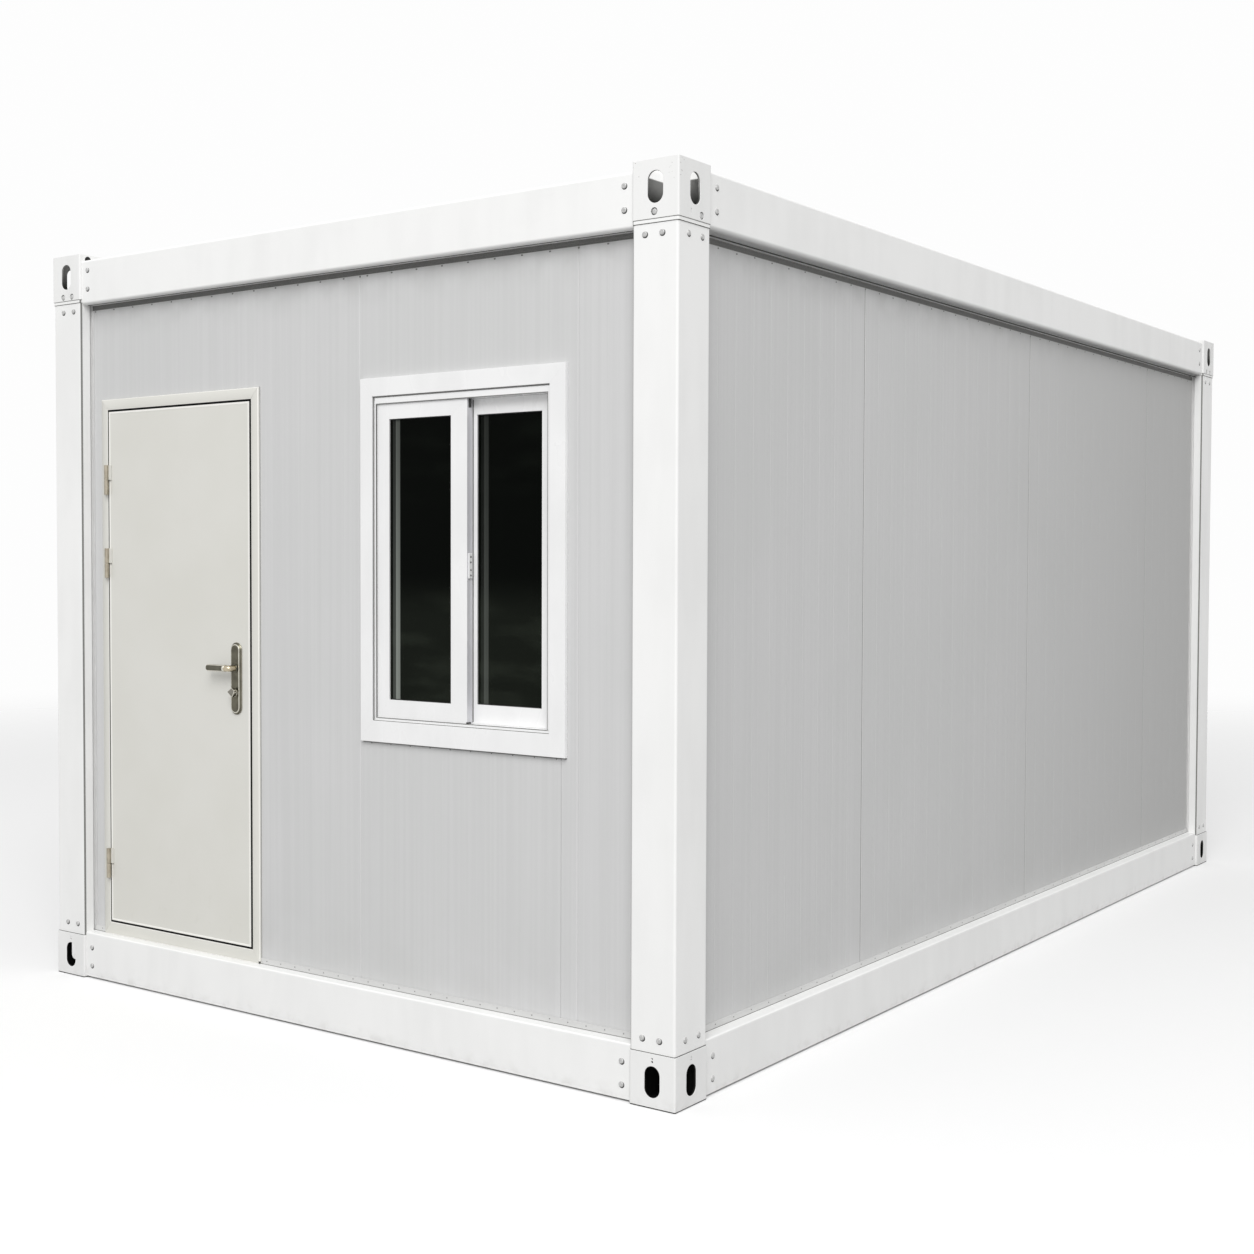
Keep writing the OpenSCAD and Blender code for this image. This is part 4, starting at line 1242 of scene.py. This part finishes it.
def lever(node, out, neck_metal, grip_metal, ring_and_highlight_metal):
    """A flat grip with a round end, a collar and a stout bent neck on a round base."""
    low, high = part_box(node)
    near = plate_face(out)
    tip = (low if out == FRONT else high).y
    grip_back = tip - out.y * 13 * MM
    middle_y = (tip + grip_back) / 2
    collar_x = lever_at.x - 19 * MM
    grip_low = Vector((low.x, min(tip, grip_back), lever_at.z - 12.5 * MM))
    grip_high = Vector((collar_x - 9 * MM, max(tip, grip_back), lever_at.z + 12.5 * MM))
    grip = block(grip_low, grip_high)
    with editing(grip, "EDGE"):
        choose("edges", lambda edge: all(vert.co.x < grip_low.x + MM for vert in edge.verts)
               and abs(edge.verts[0].co.y - edge.verts[1].co.y) > MM)
        bpy.ops.mesh.bevel(offset=12 * MM, segments=8, affect="EDGES")
    # the grip's rounded edges get the bright metal, a painted highlight
    edged(painted(grip, grip_metal, ring_and_highlight_metal), 3 * MM, 50)
    collar = rod((collar_x - 10 * MM, middle_y, lever_at.z), (collar_x, middle_y, lever_at.z), 13.2 * MM, 32)
    rose = rod((lever_at.x, near, lever_at.z), (lever_at.x, near + out.y * 4 * MM, lever_at.z), 16 * MM, 32)
    inner = rod((lever_at.x, near + out.y * MM, lever_at.z), (lever_at.x, near - out.y * 9 * MM, lever_at.z),
                8.5 * MM, 24)
    parts = [grip, painted(bent_neck(near, out, 11.5 * MM), neck_metal)]
    turned = ((collar, ring_and_highlight_metal, 2 * MM), (rose, grip_metal, 2.5 * MM), (inner, grip_metal, MM))
    for part, metal, edge in turned:
        parts.append(painted(soften(part, edge, 3), metal))
    return join(parts, "turned_" + node)


def bearing(place):
    """The direction of a place round the thumb turn's axis, to put corners in the same order."""
    return math.atan2(-place[1], -place[0])


def knob(out, metal, ring_and_highlight_metal):
    """A thumb turn shaped like a broad arrowhead, on a round base."""
    near = plate_face(out)
    base = near + out.y * 6 * MM
    start = Vector((turn_at.x, base, turn_at.z))
    body = rod(start, start + out * 14 * MM, 10 * MM, 5, "arrowhead")
    corners_of_head = ((-21.5, 4), (2, 20.5), (15, 12), (16, 2), (4.5, -16.5))  # mm across and up
    around = [(vert.co.x - turn_at.x, vert.co.z - turn_at.z) for vert in body.data.vertices
              if abs(vert.co.y - base) < MM]
    with editing(body, "VERT"):
        for old, new in zip(sorted(around, key=bearing), sorted(corners_of_head, key=bearing)):
            choose("verts", lambda vert: (vert.co.xz - turn_at.xz - Vector(old)).length < 0.1 * MM)
            bpy.ops.transform.translate(value=(new[0] * MM - old[0], 0, new[1] * MM - old[1]))
    # the arrowhead's rounded edges get the bright metal, a painted highlight
    edged(painted(body, metal, ring_and_highlight_metal), 2 * MM, 30)
    stem_foot = (turn_at.x, near - out.y * 9 * MM, turn_at.z)
    stem = rod(stem_foot, (turn_at.x, base + out.y * MM, turn_at.z), 8.5 * MM)
    rose = rod((turn_at.x, near, turn_at.z), (turn_at.x, near + out.y * 4 * MM, turn_at.z), 15 * MM, 32)
    return [body, painted(soften(stem, 0.5 * MM), metal), painted(soften(rose, 1.5 * MM), ring_and_highlight_metal)]


def lock(plate_metal, neck_metal, grip_metal, ring_and_highlight_metal, knob_metal):
    """The plates, levers and thumb turns on both faces of the leaf."""
    for node, out in (("lock_plate_outside", FRONT), ("lock_plate_inside", REAR)):
        finished(lock_plate(node, out, plate_metal, ring_and_highlight_metal), None, "door", [node])
    for node, out in (("lever_outside", FRONT), ("lever_inside", REAR)):
        finished(lever(node, out, neck_metal, grip_metal, ring_and_highlight_metal), None, "lever", [node])
    parts = knob(FRONT, knob_metal, ring_and_highlight_metal) + knob(REAR, knob_metal, ring_and_highlight_metal)
    finished(join(parts, "pointed_thumb_turn"), None, "turn", ["thumb_turn"])


# ---- camera, light and floor ----

def camera():
    """The view of the near corner, from standing eye height."""
    data = bpy.data.cameras.new("camera")
    data.sensor_width = 36
    data.lens = 49.03
    data.shift_x = 0.052
    data.shift_y = -0.009
    data.clip_end = 200
    thing = bpy.data.objects.new("camera", data)
    bpy.context.scene.collection.objects.link(thing)
    turn = Matrix.Rotation(math.radians(36.655), 4, "Z") @ Matrix.Rotation(math.radians(90 - 1.852), 4, "X")
    thing.matrix_world = Matrix.Translation((4.295, -7.0885, 1.6844)) @ turn @ Matrix.Rotation(
        math.radians(0.12), 4, "Z")
    bpy.context.scene.camera = thing


def seen_directly(paint):
    """1 for rays from the eye and for those that glass and gloss send on, otherwise 0."""
    path = paint.node("LightPath", output="Is Camera Ray")
    sent_on = path.output("Is Glossy Ray").maths("MAXIMUM", path.output("Is Transmission Ray"))
    return path.maths("MAXIMUM", sent_on)


def studio(daylight=0.68, key=2.15):
    """A white studio: even light all round, a broad soft lamp high in front, a white floor."""
    bpy.context.scene.view_settings.view_transform = "Standard"
    bpy.context.scene.world = bpy.data.worlds.new("studio")
    sky = Paint(bpy.context.scene.world)
    backdrop = seen_directly(sky) * (0.985 - daylight) + daylight
    shine = sky.node("Background", inputs={"Color": (1, 1, 1, 1), "Strength": backdrop})
    sky.node("OutputWorld", inputs={"Surface": shine})

    lamp = bpy.data.lights.new("soft_key", "AREA")
    lamp.shape = "DISK"
    lamp.size = 19
    away, to_house = 30, 27.7  # metres from the middle of the house and from its lit walls
    lamp.energy = key * math.pi * to_house ** 2
    thing = bpy.data.objects.new("soft_key", lamp)
    bpy.context.scene.collection.objects.link(thing)
    towards = Vector((0.405, -0.665, 0.628))
    thing.location = towards * away
    thing.rotation_euler = towards.to_track_quat("Z", "Y").to_euler()

    bpy.ops.object.select_all(action="DESELECT")
    bpy.ops.mesh.primitive_plane_add(size=160, location=(0, 0, -MM))
    floor = added("studio_floor")
    ground = Paint(bpy.data.materials.new("studio_floor"))
    bounced, seen = (0.4, 0.4, 0.4, 1), (0.94, 0.94, 0.94, 1)
    matt = ground.node("BsdfDiffuse", inputs={"Color": ground.mix(seen_directly(ground), bounced, seen)})
    place = ground.node("TexCoord", output="Object")
    reach = ground.node("VectorMath", {"operation": "LENGTH"}, {0: place}, output="Value")
    gone = ground.ramp(reach, 6.0, 16.0) * seen_directly(ground)
    clear = ground.node("BsdfTransparent")
    fading = ground.node("MixShader", inputs={0: gone, 1: matt, 2: clear})
    ground.node("OutputMaterial", inputs={"Surface": fading})
    floor.data.materials.append(ground.owner)


# ---- the whole house ----

camera()
studio()

white = steel_paint("frame_white", "#F5F5F4", "#F0F0EF")
chipped = steel_paint("fitting_white", "#F0F0EF", "#E9E9E8", chipped=True)
bolts = bolt_metal()
dark = dark_metal()
grey = dark_metal("grey_packing", "#8A8A88", "#6A6A68")
seal = rubber()
plastic = window_white()
# a darker copy of the window white, painted shade for the sashes' right side faces
shaded_plastic = window_white("window_side", "#D2D2D5", "#C8C8CC")
plate_metal = brushed("lock_plate_metal", "#6A675A", "#57544A", (1, 1, 0.05), 0.26)
neck_metal = brushed("champagne_metal", "#BFB49E", "#A99D86", (0.02, 0.2, 0.2), 0.2)
knob_metal = brushed("knob_nickel", "#85827A", "#726F66", (0.05, 1, 1), 0.24)
grip_metal = brushed("dark_nickel", "#68665B", "#55534A", (0.05, 1, 1), 0.24)
# bright nickel of the collars and roses, also the painted highlight on the edges of the grips, thumb turns
# and lock plates
ring_and_highlight_metal = brushed("bright_nickel", "#D6D3C8", "#C4C0B4", (1, 1, 1), 0.18)
hinge_metal = brushed("hinge_champagne", "#B0A898", "#958D7D", (1, 1, 0.1), 0.3, 0.8)

steel_frame(white, chipped, fitting_inside(), bolts, dark, grey, seal)
walls(wall_coat(), trim_coat(), dark, grey)
roof(roof_coat(), bolts)
ceiling_and_floor(ceiling_coat(), floor_coat())
window(plastic, shaded_plastic, window_glass(), seal, dark, grey)
door(door_paint(), door_edge_paint(), seal, dark, grey, hinge_metal)
lock(plate_metal, neck_metal, grip_metal, ring_and_highlight_metal, knob_metal)
for slot in frame["nodes"]["floor_joists"].material_slots:
    slot.material = zinc()
